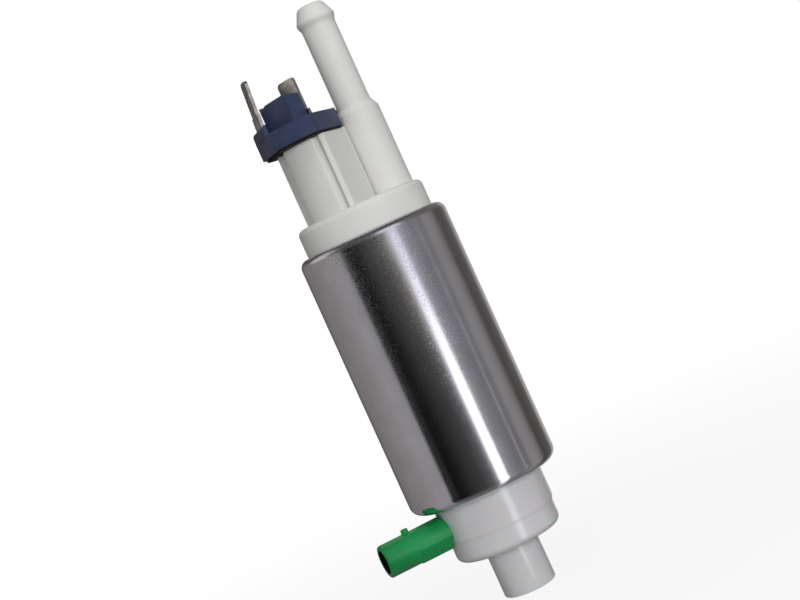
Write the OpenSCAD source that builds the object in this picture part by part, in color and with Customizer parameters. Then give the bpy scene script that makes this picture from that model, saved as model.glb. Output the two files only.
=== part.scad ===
// In-tank electric fuel pump: a steel can with a barbed outlet at the top, a plain inlet tube
// at the bottom and a side jet nozzle. The origin is the middle of the can, +Z runs to the
// outlet and the jet nozzle points along -X. All lengths are in millimetres.

/* [Shell] */
// Outside diameter of the steel shell
shell_d = 38; // [37.5:0.25:40]
// Length of the shell between its rolled ends
shell_l = 67.7; // [64:0.1:76]
// Thickness of the shell's sheet
shell_wall = 0.8; // [0.6:0.1:1]
// Outside corner radius at the outlet end
top_corner_r = 2.2; // [1.8:0.1:2.6]
// Outside corner radius at the inlet end
bottom_corner_r = 2.7; // [2.2:0.1:3]

/* [Outlet cap] */
// Set-back of the collar's side from the shell's
collar_inset = 2.7; // [2.5:0.1:3.1]
// Height of the collar above the shell
collar_h = 6.9; // [5.5:0.1:8.5]
// Radius of the collar's top edge
collar_edge_r = 1.5; // [0.8:0.1:1.8]
// Height of the flange inside the shell
cap_flange_h = 6.2; // [5.8:0.1:7.5]
// Height of the brush towers above the collar
tower_h = 18.6; // [16:0.1:22]
// Radius of the towers' round side, about the pump's axis
tower_r = 13.2; // [12.8:0.1:13.6]
// Width of the slot between the towers at their far end
tower_slot_w = 6.8; // [6:0.1:7.4]
// Distance of the slot's floor from the pump's axis
tower_slot_x = 10.7; // [10.5:0.1:11.4]
// Set-back of the towers' slanted sides from the retainer's
tower_inset = 0.35; // [0.2:0.05:0.6]
// Width of the groove beside each tower corner
tower_groove_w = 1.2; // [0.6:0.1:1.4]

/* [Outlet] */
// Distance of the outlet from the pump's axis
outlet_x = 9.4; // [9.3:0.05:9.7]
// Diameter of the outlet column
column_d = 11.1; // [10.9:0.1:11.8]
// Height of the outlet column above the collar
column_h = 20.6; // [18:0.1:24]
// Height of the cone between the column and the tube
column_cone_h = 2.3; // [1.5:0.1:3.5]
// Outside diameter of the outlet tube
outlet_tube_d = 8.7; // [8:0.1:9.2]
// Length of the outlet tube between the cone and the barb
outlet_tube_l = 21.3; // [12:0.1:30]
// Diameter over the barb
barb_d = 9.86; // [9.5:0.02:10.6]
// Length of the barb's head
barb_l = 5.1; // [4:0.1:7]
// Diameter of the barb's flat end
barb_tip_d = 6.5; // [6.3:0.1:7.2]
// Bore of the outlet tube
outlet_bore_d = 5.2; // [4.6:0.1:5.6]

/* [Check valve] */
// Bore of the chamber that holds the valve
chamber_d = 8.2; // [8:0.1:8.6]
// Height of the valve seat ring
valve_seat_h = 4; // [3.2:0.1:5]
// Hole through the valve seat
valve_hole_d = 4.8; // [4:0.1:5.2]
// Width of the seat's slanted face
valve_face_w = 1; // [0.7:0.1:1.2]
// Height of the poppet's vanes
valve_vane_h = 5; // [4:0.1:7]
// Turns of the valve spring
valve_spring_turns = 8; // [6:1:9]

/* [Terminal retainer] */
// Radius of the retainer's round side
plate_r = 15.1; // [14.8:0.1:15.6]
// Distance of the retainer's flat end from the pump's axis
plate_flat_x = 15.6; // [15.4:0.1:16]
// Thickness of the retainer plate
plate_t = 4.5; // [3.8:0.1:5]
// Angle of the retainer's two corners about its own centre
plate_corner_a = 105; // [102:1:107]
// Angle of the retainer's slanted sides from the X axis
plate_side_a = 48; // [46:1:50]
// Gap between the retainer and the outlet column
column_gap = 2.25; // [1.8:0.05:2.6]
// Thickness of the gasket under the retainer
gasket_t = 0.5; // [0.4:0.1:1.2]
// Length of the raised block
block_l = 10.8; // [9:0.1:11.2]
// Width of the raised block
block_w = 4.6; // [3.6:0.1:5.2]
// Height of the raised block above the plate
block_h = 7; // [5:0.1:8]
// Fall of the block's top across its width
block_fall = 0.8; // [0:0.1:1.4]
// Height of the pedestal at the retainer's far end
pedestal_h = 2.5; // [2:0.1:4]

/* [Terminals] */
// Width of the positive blade
positive_w = 6.3; // [4.8:0.1:6.3]
// Width of the negative blade
negative_w = 4.8; // [4:0.1:5.2]
// Thickness of each terminal blade
blade_t = 0.8; // [0.5:0.1:0.8]
// Width of the two shoulders at the foot of each blade
shoulders_w = 1.6; // [0.8:0.1:2]
// Height of the positive blade above the plate
positive_h = 10.2; // [8.5:0.1:14]
// Height of the negative blade above the plate
negative_h = 14.5; // [12:0.1:18]
// Lean of the negative blade towards the axis, in degrees
negative_lean = 4; // [0:0.5:6]
// Hole in the negative blade
blade_hole_d = 1.7; // [1:0.1:2]

/* [Brushes] */
// Distance of each brush from the pump's axis
brush_pitch_r = 7.5; // [7.3:0.1:7.7]
// Radial width of a brush
brush_w = 5; // [4.4:0.1:5]
// Width of a brush along the commutator's face
brush_b = 6; // [5:0.1:6]
// Length of a new brush
brush_l = 12.5; // [9:0.1:14]
// Turns of a brush spring
brush_spring_turns = 12; // [9:1:13]

/* [Motor] */
// Thickness of the flux ring
flux_wall = 2.15; // [1.8:0.05:2.3]
// Thickness of the magnets
magnet_t = 4.25; // [3.8:0.05:4.4]
// Arc that each magnet covers, in degrees
magnet_arc = 76; // [70:1:78]
// Air gap between the magnets and the armature
air_gap = 0.6; // [0.4:0.05:0.9]
// Diameter of the rotor shaft
shaft_d = 4; // [3.6:0.1:4]
// Diameter of the commutator
commutator_d = 20; // [19.6:0.1:20.4]
// Height of the commutator's hub
commutator_h = 5; // [4:0.1:6]
// Thickness of the commutator's segments
segment_t = 1.6; // [1:0.1:2]
// Height of each end of the windings
end_turn_h = 3; // [2:0.1:4]

/* [Pump stage] */
// Offset of the outer rotor from the pump's axis
eccentricity = 1; // [0.8:0.02:1.06]
// Radius of the circle on which the outer rotor's teeth lie
tooth_circle_r = 9.5; // [9.3:0.05:9.7]
// Radius of the outer rotor's teeth
tooth_r = 2.85; // [2.7:0.05:2.9]
// Height of the cam ring that holds the rotors
cam_h = 8; // [6:0.1:10]
// Thickness of the plate on the outlet side
outlet_plate_t = 4.2; // [4:0.1:5.5]
// Thickness of the plate on the inlet side
inlet_plate_t = 3.2; // [3:0.1:4.5]
// Diameter of the relief ball
relief_ball_d = 3; // [2.8:0.1:3]

/* [Inlet housing] */
// Set-back of the housing's side from the shell's
housing_inset = 5; // [4.9:0.1:5.3]
// Length of the housing's upper part
housing_upper_l = 8.2; // [7.8:0.1:9]
// Set-back of the housing's lower part from its upper part
housing_step = 0.5; // [0.4:0.1:1]
// Length of the housing below the shell
housing_l = 14.7; // [13.5:0.1:18]
// Thickness of the housing's walls
housing_wall = 2; // [1.8:0.1:2.4]
// Radius of the housing's lower edge
housing_edge_r = 1.8; // [1:0.1:2]
// Height of the flange inside the shell
housing_flange_h = 4.6; // [4.4:0.1:6]
// Outside diameter of the inlet tube
inlet_tube_d = 13.3; // [12.4:0.1:14]
// Length of the inlet tube
inlet_tube_l = 12.3; // [8:0.1:20]
// Bore of the inlet tube
inlet_bore_d = 9.8; // [8:0.1:10.4]

/* [Jet nozzle] */
// Height of the nozzle's axis below the shell
nozzle_drop = 5.7; // [5.4:0.1:6.4]
// Outside diameter of the nozzle
nozzle_d = 8.25; // [7.6:0.05:8.5]
// Distance of the nozzle's tip from the pump's axis
nozzle_reach = 30.6; // [27:0.1:36]
// Distance of the nozzle's flats from the pump's axis
nozzle_step_x = 22.4; // [20:0.1:24]
// Bore of the nozzle
nozzle_bore_d = 6; // [5:0.1:6.2]
// Diameter of the spigot in the housing's wall
spigot_d = 6.1; // [5.8:0.1:6.4]
// Diameter of the peg on top of the nozzle
peg_d = 1.8; // [1.2:0.1:2.2]
// Height of the peg
peg_h = 1; // [0.5:0.1:2]

/* [Hidden] */
$fn = 64;
seat_gap = 0.1;      // radial gap of a piece that is pushed into the shell
run_gap = 0.03;      // radial gap of the shaft in its bearings
slide_gap = 0.05;    // gap of a piece that slides in its guide
rotor_gap = 0.05;    // gap of the two rotors to the walls round them
eps = 1;             // how far a cut runs past the face it opens

// Heights, from the inlet end up
z_bottom = -shell_l / 2;
z_top = shell_l / 2;
shell_r = shell_d / 2;
shell_bore_r = shell_r - shell_wall;
insert_r = shell_bore_r - seat_gap;
collar_r = shell_r - collar_inset;
housing_seat_z = z_bottom + shell_wall;
inlet_plate_z = housing_seat_z + housing_flange_h;
cam_z = inlet_plate_z + inlet_plate_t;
outlet_plate_z = cam_z + cam_h;
outlet_plate_top = outlet_plate_z + outlet_plate_t;
insulator_t = 0.6;
winding_gap = 1.2;
core_z = outlet_plate_top + winding_gap + end_turn_h + insulator_t;
cap_top_z = z_top - shell_wall;
cap_z = cap_top_z - cap_flange_h;
brush_reach = 2.5;
commutator_face_z = cap_z - brush_reach;
segment_z = commutator_face_z - segment_t;
commutator_z = segment_z - commutator_h;
core_top = commutator_z - winding_gap - end_turn_h - insulator_t;
collar_z = z_top + collar_h;
tower_z = collar_z + tower_h;
plate_z = tower_z + gasket_t;
plate_top = plate_z + plate_t;

// O-rings in the ends of the shell
seal_wire_r = 0.88;
seal_gap = 0.03;
seal_r = shell_bore_r - seal_wire_r - seal_gap;
groove_r = seal_r - seal_wire_r - seal_gap;
groove_h = 2.1;
groove_lip = 0.5;
cap_groove_z = cap_top_z - (top_corner_r - shell_wall) - groove_lip - groove_h;
housing_groove_z = inlet_plate_z - groove_lip - groove_h;

// Magnets and armature
flux_r = insert_r - flux_wall;
magnet_r = flux_r - seat_gap;
magnet_bore_r = magnet_r - magnet_t;
armature_r = magnet_bore_r - air_gap;
shaft_r = shaft_d / 2;
slot_count = 12;
slot_r = 5.2;
slot_top_r = armature_r - 1.4;
slot_mouth_w = 0.9;
tooth_w = 1.6;
coil_gap = 0.1;
coil_in_r = 4.6;
coil_end_gap = 0.5;
hub_r = 3.4;
hub_inset = 0.4;
magnet_overhang = 1.2;
clip_w = 1.9;
clip_t = 0.5;
clip_l = 2.4;
pilot_l = 1.6;
pilot_gap = 0.4;
bearing_r = 3.8;
bearing_h = 6;
lower_bearing_h = 2.7;
bearing_rise = 0.45;
washer_t = 0.6;
washer_gap = 0.1;
segment_in_r = 4.5;
segment_gap = 0.5;
shaft_top = cap_z + bearing_h;

// Pump stage
lobes = 6;
teeth = lobes + 1;
profile_points = 144;
profile_crowding = 0.8;
mesh_gap = 0.05;
root_gap = 0.15;
ring_wall = 0.15;
ring_root_r = tooth_circle_r + 2 * eccentricity - tooth_r + root_gap - mesh_gap;
ring_r = tooth_circle_r + tooth_r + ring_wall;
cam_bore_r = ring_r + rotor_gap;
port_in_r = 6;
port_margin = 0.3;
port_out_r = ring_root_r + eccentricity / 2 + port_margin;
port_from_a = 25;
port_to_a = 155;
screw_r = 1.25;
screw_head_r = 2;
screw_head_h = 1.5;
screw_gap = 0.05;
screw_rim = 0.5;
screw_pitch_r = insert_r - screw_head_r - screw_rim;
screw_angles = [45, 135, 225, 315];
screw_depth = 2.6;
screw_head_drop = 0.1;
screw_end_gap = 0.2;
socket_r = 0.9;
socket_h = 0.8;
coupling_r = 4.2;
coupling_t = 1.5;
coupling_pin_r = 0.8;
coupling_pin_pitch = 3.5;
coupling_pin_l = 3;
coupling_gap = 0.4;
relief_r = relief_ball_d / 2;
relief_x = -(cam_bore_r - eccentricity + insert_r) / 2;
relief_seat_r = 1;
relief_bore_r = relief_r + seat_gap;
relief_wire = 0.35;
relief_spring_r = 1.1;
relief_spring_turns = 5;
relief_ball_gap = 0.02;
relief_seat_drop = sqrt(relief_r * relief_r - relief_seat_r * relief_seat_r);
relief_ball_z = outlet_plate_z - relief_seat_drop - relief_ball_gap;

// Outlet column and check valve
column_r = column_d / 2;
column_z = collar_z + column_h;
tube_z = column_z + column_cone_h;
barb_z = tube_z + outlet_tube_l;
barb_step = 0.6;
barb_land = 0.8;
barb_top = barb_z + barb_l;
chamber_r = chamber_d / 2;
chamber_roof = 3.5;
chamber_top = column_z - chamber_roof;
valve_seat_rise = 1.5;
valve_seat_z = cap_z + valve_seat_rise;
valve_seat_top = valve_seat_z + valve_seat_h;
valve_hole_r = valve_hole_d / 2;
valve_gap = 0.05;
valve_head_h = 2;
valve_stem_r = 1.5;
valve_stem_l = 11;
valve_vane_t = 1.2;
valve_vane_r = chamber_r - slide_gap;
valve_overlap = 0.5;
valve_vane_z = valve_seat_top + valve_head_h;
valve_vane_top = valve_vane_z - valve_overlap + valve_vane_h;
valve_wire = 0.6;
valve_spring_r = 2.6;

// Retainer, towers and terminals
towers_web = 3.6;
tower_groove_a = 118;
tower_groove_l = 1.5 * tower_groove_w;
plate_x = -1.75;
plate_corner = [plate_x + plate_r * cos(plate_corner_a), -plate_r * sin(plate_corner_a)];
gasket_inset = 0.2;
gasket_flat_inset = 1.5;
block_a = 24;
block_x = -8.7;
block_y = -11;
block_chamfer = 2.4;
rib_w = 1;
rib_end_h = 0.3;
rib_start = 2.5;
pedestal_plan = [[-plate_flat_x, -6], [-14.5, -6], [-13.1, -3.2], [-13.1, 6], [-plate_flat_x, 6]];
pedestal_edge_r = 1.2;
hook_y = 2.6;
hook_w = 1.6;
hook_t = 0.9;
hook_l = 2.3;
hook_drop = 0.6;
foot_t = 0.8;
foot_w = brush_w + 1;
fit_gap = 0.05;
blade_chamfer = 1;
shoulder_h = 1.8;
negative_shoulder_h = 3.2;
positive_along = positive_w / 2 + 0.45;
tail_t = 0.5;
tail_from = 0.4;
tail_drop = 0.15;
negative_x = -14.2;
negative_y = 0.8;
negative_hole_drop = 4.3;
negative_hole_y = 0.4;
strap_w = 2.6;
strap_y = 2.2;
negative_foot = brush_pitch_r * [cos(135), sin(135)];
strap_run = [negative_foot[0] - negative_x, negative_foot[1] - strap_y];
tower_peg_r = 1;
tower_peg_l = 2;
tower_pegs = [[-9.4, 0], [-0.9, 0]];

// Brushes
brush_angles = [-135, 135];
brush_gap = 0.05;
brush_z = commutator_face_z + brush_gap;
brush_top = brush_z + brush_l;
brush_wire = 0.5;
brush_spring_r = 1.95;
lead_r = 0.45;

// Inlet housing and jet nozzle
housing_r = shell_r - housing_inset;
housing_lower_r = housing_r - housing_step;
housing_step_h = 1.4;
housing_end_z = z_bottom - housing_l;
chamber_floor_z = housing_end_z + housing_wall;
inlet_chamber_r = housing_lower_r - housing_wall;
tube_r = inlet_tube_d / 2;
tube_end_z = housing_end_z - inlet_tube_l;
tube_edge = 0.6;
nozzle_z = z_bottom - nozzle_drop;
nozzle_r = nozzle_d / 2;
nozzle_tip_edge = 0.3;
sleeve_end_x = 24;
nozzle_bore_l = 13.5;
nozzle_flat = 0.85;
nozzle_base = 2;
root_round_r = norm([nozzle_r, nozzle_flat]);
sleeve_rise = 0.2;
sleeve_r = nozzle_r + sleeve_rise;
spigot_r = spigot_d / 2;
spigot_wall = 0.95;
spigot_end_x = 9.4;
spigot_boss_r = 4.6;
spigot_boss_x = 9.6;
peg_x = sleeve_end_x - peg_d / 2 - slide_gap;
nozzle_seal_x = 10.6;
nozzle_seal_wire_r = 0.36;
nozzle_seal_drop = 0.02;
nozzle_groove_r = spigot_r - 2 * (nozzle_seal_wire_r + nozzle_seal_drop);
nozzle_groove_w = 2 * (nozzle_seal_wire_r + slide_gap);

// Points of an arc about [cx, cy]
function arc(cx, cy, r, from_a, to_a, steps = 8) =
    [for (i = [0:steps]) let (a = from_a + (to_a - from_a) * i / steps)
        [cx + r * cos(a), cy + r * sin(a)]];

// A ring or, with no bore, a disc
module ring(r, bore, z, h) {
    translate([0, 0, z]) difference() {
        cylinder(h = h, r = r);
        if (bore > 0) translate([0, 0, -eps]) cylinder(h = h + 2 * eps, r = bore);
    }
}

// A round rubber ring lying flat
module o_ring(r, wire_r, z) {
    rotate_extrude() translate([r, z]) circle(r = wire_r, $fn = 32);
}

// An open coil spring between two heights
module coil_spring(mid_r, wire_d, z0, z1, turns) {
    around = 6;
    per_turn = 8;
    steps = turns * per_turn;
    w = wire_d / 2;
    rise = (z1 - z0 - wire_d) / steps;
    least_gap = rise * per_turn - wire_d;
    echo("spring", turns = turns, least_gap = least_gap);
    points = [for (i = [0:steps]) for (j = [0:around - 1])
        let (a = 360 * i / per_turn, b = 360 * j / around, r = mid_r + w * cos(b))
            [r * cos(a), r * sin(a), z0 + w + rise * i + w * sin(b)]];
    sides = [for (i = [0:steps - 1]) for (j = [0:around - 1])
        let (p = i * around + j, q = i * around + (j + 1) % around)
            each [[p, p + around, q], [q, p + around, q + around]]];
    first = [for (j = [1:around - 2]) [0, j, j + 1]];
    last = [for (j = [1:around - 2]) let (k = steps * around) [k, k + j + 1, k + j]];
    polyhedron(points = points, faces = concat(sides, first, last), convexity = 10);
}

// Plan of the towers, the gasket and the retainer: a disc with its centre at x, cut by two
// slanted sides and hollowed round the outlet column; inset moves the slanted sides in
module fan(x, r, inset) {
    out = [sin(plate_side_a), -cos(plate_side_a)];
    along = [cos(plate_side_a), sin(plate_side_a)];
    near = plate_corner - inset * out;
    apex = near[0] - near[1] / along[1] * along[0];
    far = near - 3 * r * along;
    difference() {
        intersection() {
            translate([x, 0]) circle(r = r, $fn = 128);
            polygon([far, [apex, 0], [far[0], -far[1]]]);
        }
        translate([outlet_x, 0]) circle(r = column_r + column_gap + inset);
    }
}

// Everything on the axis side of a flat end
module flat_end(x) {
    translate([-x, -shell_r]) square([shell_d, shell_d]);
}

// Cross-section of a brush, grown by a gap
module brush_section(gap) {
    translate([brush_pitch_r, 0]) square([brush_w + 2 * gap, brush_b + 2 * gap], center = true);
}

module shell() {
    outer_lip_r = collar_r + seat_gap;
    inner_lip_r = housing_r + seat_gap;
    outside = concat(
        [[inner_lip_r, z_bottom]],
        arc(shell_r - bottom_corner_r, z_bottom + bottom_corner_r, bottom_corner_r, -90, 0),
        arc(shell_r - top_corner_r, z_top - top_corner_r, top_corner_r, 0, 90),
        [[outer_lip_r, z_top]]
    );
    inside = concat(
        [[outer_lip_r, cap_top_z]],
        arc(shell_r - top_corner_r, z_top - top_corner_r, top_corner_r - shell_wall, 90, 0),
        arc(shell_r - bottom_corner_r, z_bottom + bottom_corner_r,
            bottom_corner_r - shell_wall, 0, -90),
        [[inner_lip_r, housing_seat_z]]
    );
    color("silver") rotate_extrude($fn = 128) polygon(concat(outside, inside));
}

module outlet_cap() {
    corner = top_corner_r - shell_wall;
    lip = insert_r - corner;
    body = concat(
        [[0, cap_z], [insert_r, cap_z], [insert_r, cap_top_z - corner], [lip, cap_top_z],
         [collar_r, cap_top_z]],
        arc(collar_r - collar_edge_r, collar_z - collar_edge_r, collar_edge_r, 0, 90),
        [[0, collar_z]]
    );
    column = [[0, collar_z - eps], [column_r, collar_z - eps], [column_r, column_z],
        [outlet_tube_d / 2, tube_z], [outlet_tube_d / 2, barb_z],
        [barb_d / 2, barb_z + barb_step], [barb_d / 2, barb_z + barb_step + barb_land],
        [barb_tip_d / 2, barb_top], [0, barb_top]];
    color("ivory") difference() {
        union() {
            rotate_extrude($fn = 128) polygon(body);
            translate([0, 0, collar_z - eps]) linear_extrude(tower_h + eps) difference() {
                fan(0, tower_r, tower_inset);
                translate([-shell_r, -tower_slot_w / 2])
                    square([shell_r - tower_slot_x, tower_slot_w]);
                for (side = [-1, 1]) rotate(side * tower_groove_a) translate([tower_r, 0])
                    square([tower_groove_l, tower_groove_w], center = true);
            }
            translate([0, -towers_web / 2, collar_z - eps])
                cube([outlet_x, towers_web, tower_h + eps]);
            translate([outlet_x, 0, 0]) rotate_extrude() polygon(column);
            for (place = tower_pegs) translate([place[0], place[1], tower_z - eps])
                cylinder(h = tower_peg_l + eps + gasket_t, r = tower_peg_r);
        }
        ring(insert_r + eps, groove_r, cap_groove_z, groove_h);
        translate([outlet_x, 0, cap_z - eps])
            cylinder(h = chamber_top - cap_z + eps, r = chamber_r);
        translate([outlet_x, 0, chamber_top - eps])
            cylinder(h = barb_top - chamber_top + 2 * eps, r = outlet_bore_d / 2);
        for (a = brush_angles) rotate(a)
            translate([0, 0, cap_z - eps]) linear_extrude(tower_z - cap_z + 2 * eps)
                brush_section(slide_gap);
        ring(bearing_r, 0, cap_z - eps, bearing_h + eps);
        ring(shaft_r + eps, 0, cap_z, bearing_h + eps);
    }
}

module outlet_cap_seal() {
    color("black") o_ring(seal_r, seal_wire_r, cap_groove_z + groove_h / 2);
}

module check_valve_seat() {
    color("goldenrod") translate([outlet_x, 0, 0]) rotate_extrude() polygon([
        [valve_hole_r, valve_seat_z], [chamber_r, valve_seat_z], [chamber_r, valve_seat_top],
        [valve_hole_r + valve_face_w, valve_seat_top],
        [valve_hole_r, valve_seat_top - valve_face_w]]);
}

module check_valve_poppet() {
    head_r = valve_hole_r + valve_face_w;
    low = valve_seat_top - valve_face_w + valve_gap;
    color("dimgray") translate([outlet_x, 0, 0]) {
        rotate_extrude() polygon([
            [0, low], [valve_hole_r, low], [head_r, low + valve_face_w],
            [head_r, valve_vane_z], [valve_stem_r, valve_vane_z + eps],
            [valve_stem_r, valve_vane_z + valve_stem_l], [0, valve_vane_z + valve_stem_l]]);
        intersection() {
            ring(valve_vane_r, 0, valve_vane_z - valve_overlap, valve_vane_h);
            for (a = [0, 90]) rotate(a) translate([0, 0, valve_vane_z + valve_vane_h / 2])
                cube([chamber_d, valve_vane_t, 2 * valve_vane_h], center = true);
        }
    }
}

module check_valve_spring() {
    color("gray") translate([outlet_x, 0, 0]) coil_spring(valve_spring_r, valve_wire,
        valve_vane_top + slide_gap, chamber_top - slide_gap, valve_spring_turns);
}

module upper_bearing() {
    color("darkgoldenrod") ring(bearing_r, shaft_r + run_gap, cap_z, bearing_h);
}

module retainer_gasket() {
    color("black") translate([0, 0, tower_z]) linear_extrude(gasket_t) difference() {
        intersection() {
            fan(plate_x, plate_r - gasket_inset, gasket_inset);
            flat_end(plate_flat_x - gasket_flat_inset);
        }
        for (a = brush_angles) rotate(a) brush_section(slide_gap);
        for (place = tower_pegs) translate(place) circle(r = tower_peg_r + slide_gap);
    }
}

// A place on the block's plan: along its long side, then across it
function block_point(along, across) = [
    block_x + across * cos(block_a) - along * sin(block_a),
    block_y + across * sin(block_a) + along * cos(block_a)];

// Block with its top falling across the width and its far top corner clipped
module block_body() {
    top = block_h + eps;
    translate([block_x, block_y, plate_top - eps]) rotate(block_a) intersection() {
        rotate([90, 0, 0]) translate([0, 0, -block_l]) linear_extrude(block_l)
            polygon([[0, 0], [block_w, 0], [block_w, top - block_fall], [0, top]]);
        rotate([90, 0, 90]) linear_extrude(block_w) polygon([
            [0, 0], [block_l, 0], [block_l, top - block_chamfer / 2],
            [block_l - block_chamfer, top], [0, top]]);
    }
}

// Low rib along the block's outer side, rising towards the pedestal
module block_rib() {
    translate([block_x, block_y, plate_top - eps]) rotate(block_a) rotate([90, 0, 90])
        translate([0, 0, -rib_w]) linear_extrude(rib_w + fit_gap) polygon([
            [rib_start, 0], [block_l, 0], [block_l, pedestal_h + eps],
            [rib_start, eps + rib_end_h]]);
}

// Pedestal of the negative terminal, its outer top edge rounded
module pedestal() {
    x = -plate_flat_x;
    top = plate_top + pedestal_h;
    intersection() {
        translate([0, 0, plate_top - eps]) linear_extrude(pedestal_h + eps)
            polygon(pedestal_plan);
        rotate([90, 0, 0]) linear_extrude(shell_d, center = true) polygon(concat(
            [[0, top], [0, plate_z], [x, plate_z]],
            arc(x + pedestal_edge_r, top - pedestal_edge_r, pedestal_edge_r, 180, 90)));
    }
}

module terminal_retainer() {
    nose_x = outlet_x - column_r - column_gap;
    positive_slot = positive_w + shoulders_w + 2 * fit_gap;
    negative_slot = negative_w + shoulders_w + 2 * fit_gap;
    slot_t = blade_t + 2 * fit_gap;
    color("steelblue") difference() {
        union() {
            translate([0, 0, plate_z]) linear_extrude(plate_t) intersection() {
                fan(plate_x, plate_r, 0);
                flat_end(plate_flat_x);
            }
            pedestal();
            block_body();
            block_rib();
            for (side = [-1, 1])
                translate([0, side * hook_y - hook_w / 2, plate_top - hook_t - hook_drop])
                    cube([nose_x + hook_l, hook_w, hook_t]);
        }
        translate(concat(positive_place(), [plate_z - eps])) rotate(block_a + 90)
            translate([-positive_slot / 2, -slot_t / 2, 0])
                cube([positive_slot, slot_t, plate_t + 2 * eps]);
        translate([negative_x - slot_t / 2, negative_y - negative_slot / 2, plate_z - eps])
            cube([slot_t, negative_slot, plate_t + pedestal_h + 2 * eps]);
        translate([0, 0, plate_z - eps]) linear_extrude(foot_t + fit_gap + eps) {
            for (a = brush_angles) brush_foot(a, fit_gap);
            strap(fit_gap);
        }
        for (place = tower_pegs) translate([place[0], place[1], plate_z - eps])
            cylinder(h = tower_peg_l + eps + fit_gap, r = tower_peg_r + fit_gap);
    }
}

// Middle of the positive blade, against the block's back face
function positive_place() = block_point(positive_along, block_w + blade_t / 2 + fit_gap);

// Foot of a terminal over its brush
module brush_foot(a, gap) {
    rotate(a) translate([brush_pitch_r, 0])
        square([foot_w + 2 * gap, brush_b + 2 * gap], center = true);
}

// Strap from the negative blade to its foot
module strap(gap) {
    translate([negative_x, strap_y]) rotate(atan2(strap_run[1], strap_run[0]))
        translate([-gap, -strap_w / 2 - gap]) square([norm(strap_run), strap_w + 2 * gap]);
}

// A blade with clipped top corners, its width along X and its foot at the origin
module blade(w, h, shoulder) {
    half = w / 2;
    rotate([90, 0, 0]) linear_extrude(blade_t, center = true) union() {
        polygon([[-half, 0], [half, 0], [half, h - blade_chamfer], [half - blade_chamfer, h],
            [blade_chamfer - half, h], [-half, h - blade_chamfer]]);
        translate([-half - shoulders_w / 2, 0]) square([w + shoulders_w, shoulder]);
    }
}

// The positive terminal: a blade with a foot, and a tail round the block's far end
module positive_terminal() {
    back = block_w + fit_gap;
    far = block_l + fit_gap;
    color("darkgray") {
        translate(concat(positive_place(), [plate_z])) rotate(block_a + 90)
            blade(positive_w, plate_t + positive_h, plate_t + shoulder_h);
        translate([0, 0, plate_z]) linear_extrude(foot_t) brush_foot(brush_angles[0], 0);
        translate([block_x, block_y, plate_top + fit_gap]) rotate(block_a) {
            translate([back, positive_along, 0])
                cube([blade_t, far + tail_t - positive_along, shoulder_h - fit_gap]);
            translate([tail_from, far, 0])
                cube([back + blade_t - tail_from, tail_t, block_h - tail_drop]);
        }
    }
}

module negative_terminal() {
    root = plate_t + pedestal_h;
    rise = negative_h - pedestal_h;
    color("darkgray") difference() {
        union() {
            translate([negative_x, negative_y, plate_z + root / 2])
                cube([blade_t, negative_w + shoulders_w, root], center = true);
            translate([negative_x, negative_y, plate_z + root]) rotate([0, negative_lean, 0])
                rotate(90) translate([0, 0, -blade_t / 4])
                    blade(negative_w, rise + blade_t / 4, negative_shoulder_h);
            translate([0, 0, plate_z]) linear_extrude(foot_t) {
                brush_foot(brush_angles[1], 0);
                strap(0);
            }
        }
        translate([negative_x, negative_y, plate_z + root]) rotate([0, negative_lean, 0])
            translate([-eps - blade_t, negative_hole_y, rise - negative_hole_drop])
                rotate([0, 90, 0])
                cylinder(h = 2 * blade_t + 2 * eps, r = blade_hole_d / 2, $fn = 32);
    }
}

module brush(a) {
    color("dimgray") rotate(a) translate([0, 0, brush_z]) linear_extrude(brush_l)
        brush_section(0);
}

module brush_spring(a) {
    color("gray") rotate(a) translate([brush_pitch_r, 0, 0]) coil_spring(brush_spring_r,
        brush_wire, brush_top + slide_gap, plate_z - slide_gap, brush_spring_turns);
}

module brush_lead(a) {
    color("chocolate") rotate(a) translate([brush_pitch_r, 0, brush_top])
        cylinder(h = plate_z - brush_top, r = lead_r, $fn = 24);
}

module flux_ring() {
    color("slategray") ring(insert_r, flux_r, outlet_plate_top, cap_z - outlet_plate_top);
}

module magnet(number) {
    color("darkslategray") rotate(90 * number - magnet_arc / 2)
        rotate_extrude(angle = magnet_arc, $fn = 128)
            translate([magnet_bore_r, core_z - magnet_overhang])
                square([magnet_t, core_top - core_z + 2 * magnet_overhang]);
}

module magnet_clips() {
    w = clip_w;
    t = clip_t;
    color("lightsteelblue") for (a = [45:90:315]) rotate(a)
        translate([magnet_r - t, 0, core_z]) linear_extrude(core_top - core_z) union() {
            translate([0, -w / 2]) square([t, w]);
            for (side = [-1, 1]) translate([-clip_l, side * (w - t) / 2 - t / 2])
                square([clip_l + slide_gap, t]);
        }
}

module rotor_shaft() {
    color("silver") ring(shaft_r, 0, cam_z - pilot_l, shaft_top - cam_z + pilot_l);
}

// Plan of one winding slot, grown by a gap
module slot(gap) {
    low = PI * slot_r / slot_count - tooth_w / 2 + gap;
    high = PI * slot_top_r / slot_count - tooth_w / 2 + gap;
    polygon([[slot_r - gap, -low], [slot_top_r + gap, -high], [slot_top_r + gap, high],
        [slot_r - gap, low]]);
}

module lamination(r) {
    difference() {
        circle(r = r, $fn = 96);
        circle(r = shaft_r);
        for (i = [1:slot_count]) rotate((i + 0.5) * 360 / slot_count) {
            slot(0);
            translate([slot_top_r - slide_gap, -slot_mouth_w / 2])
                square([armature_r, slot_mouth_w]);
        }
    }
}

module armature_core() {
    color("gray") translate([0, 0, core_z]) linear_extrude(core_top - core_z)
        lamination(armature_r);
}

module armature_insulator_upper() {
    color("whitesmoke") {
        translate([0, 0, core_top]) linear_extrude(insulator_t) lamination(armature_r - hub_inset);
        ring(hub_r, shaft_r, core_top + insulator_t, end_turn_h);
    }
}

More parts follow.
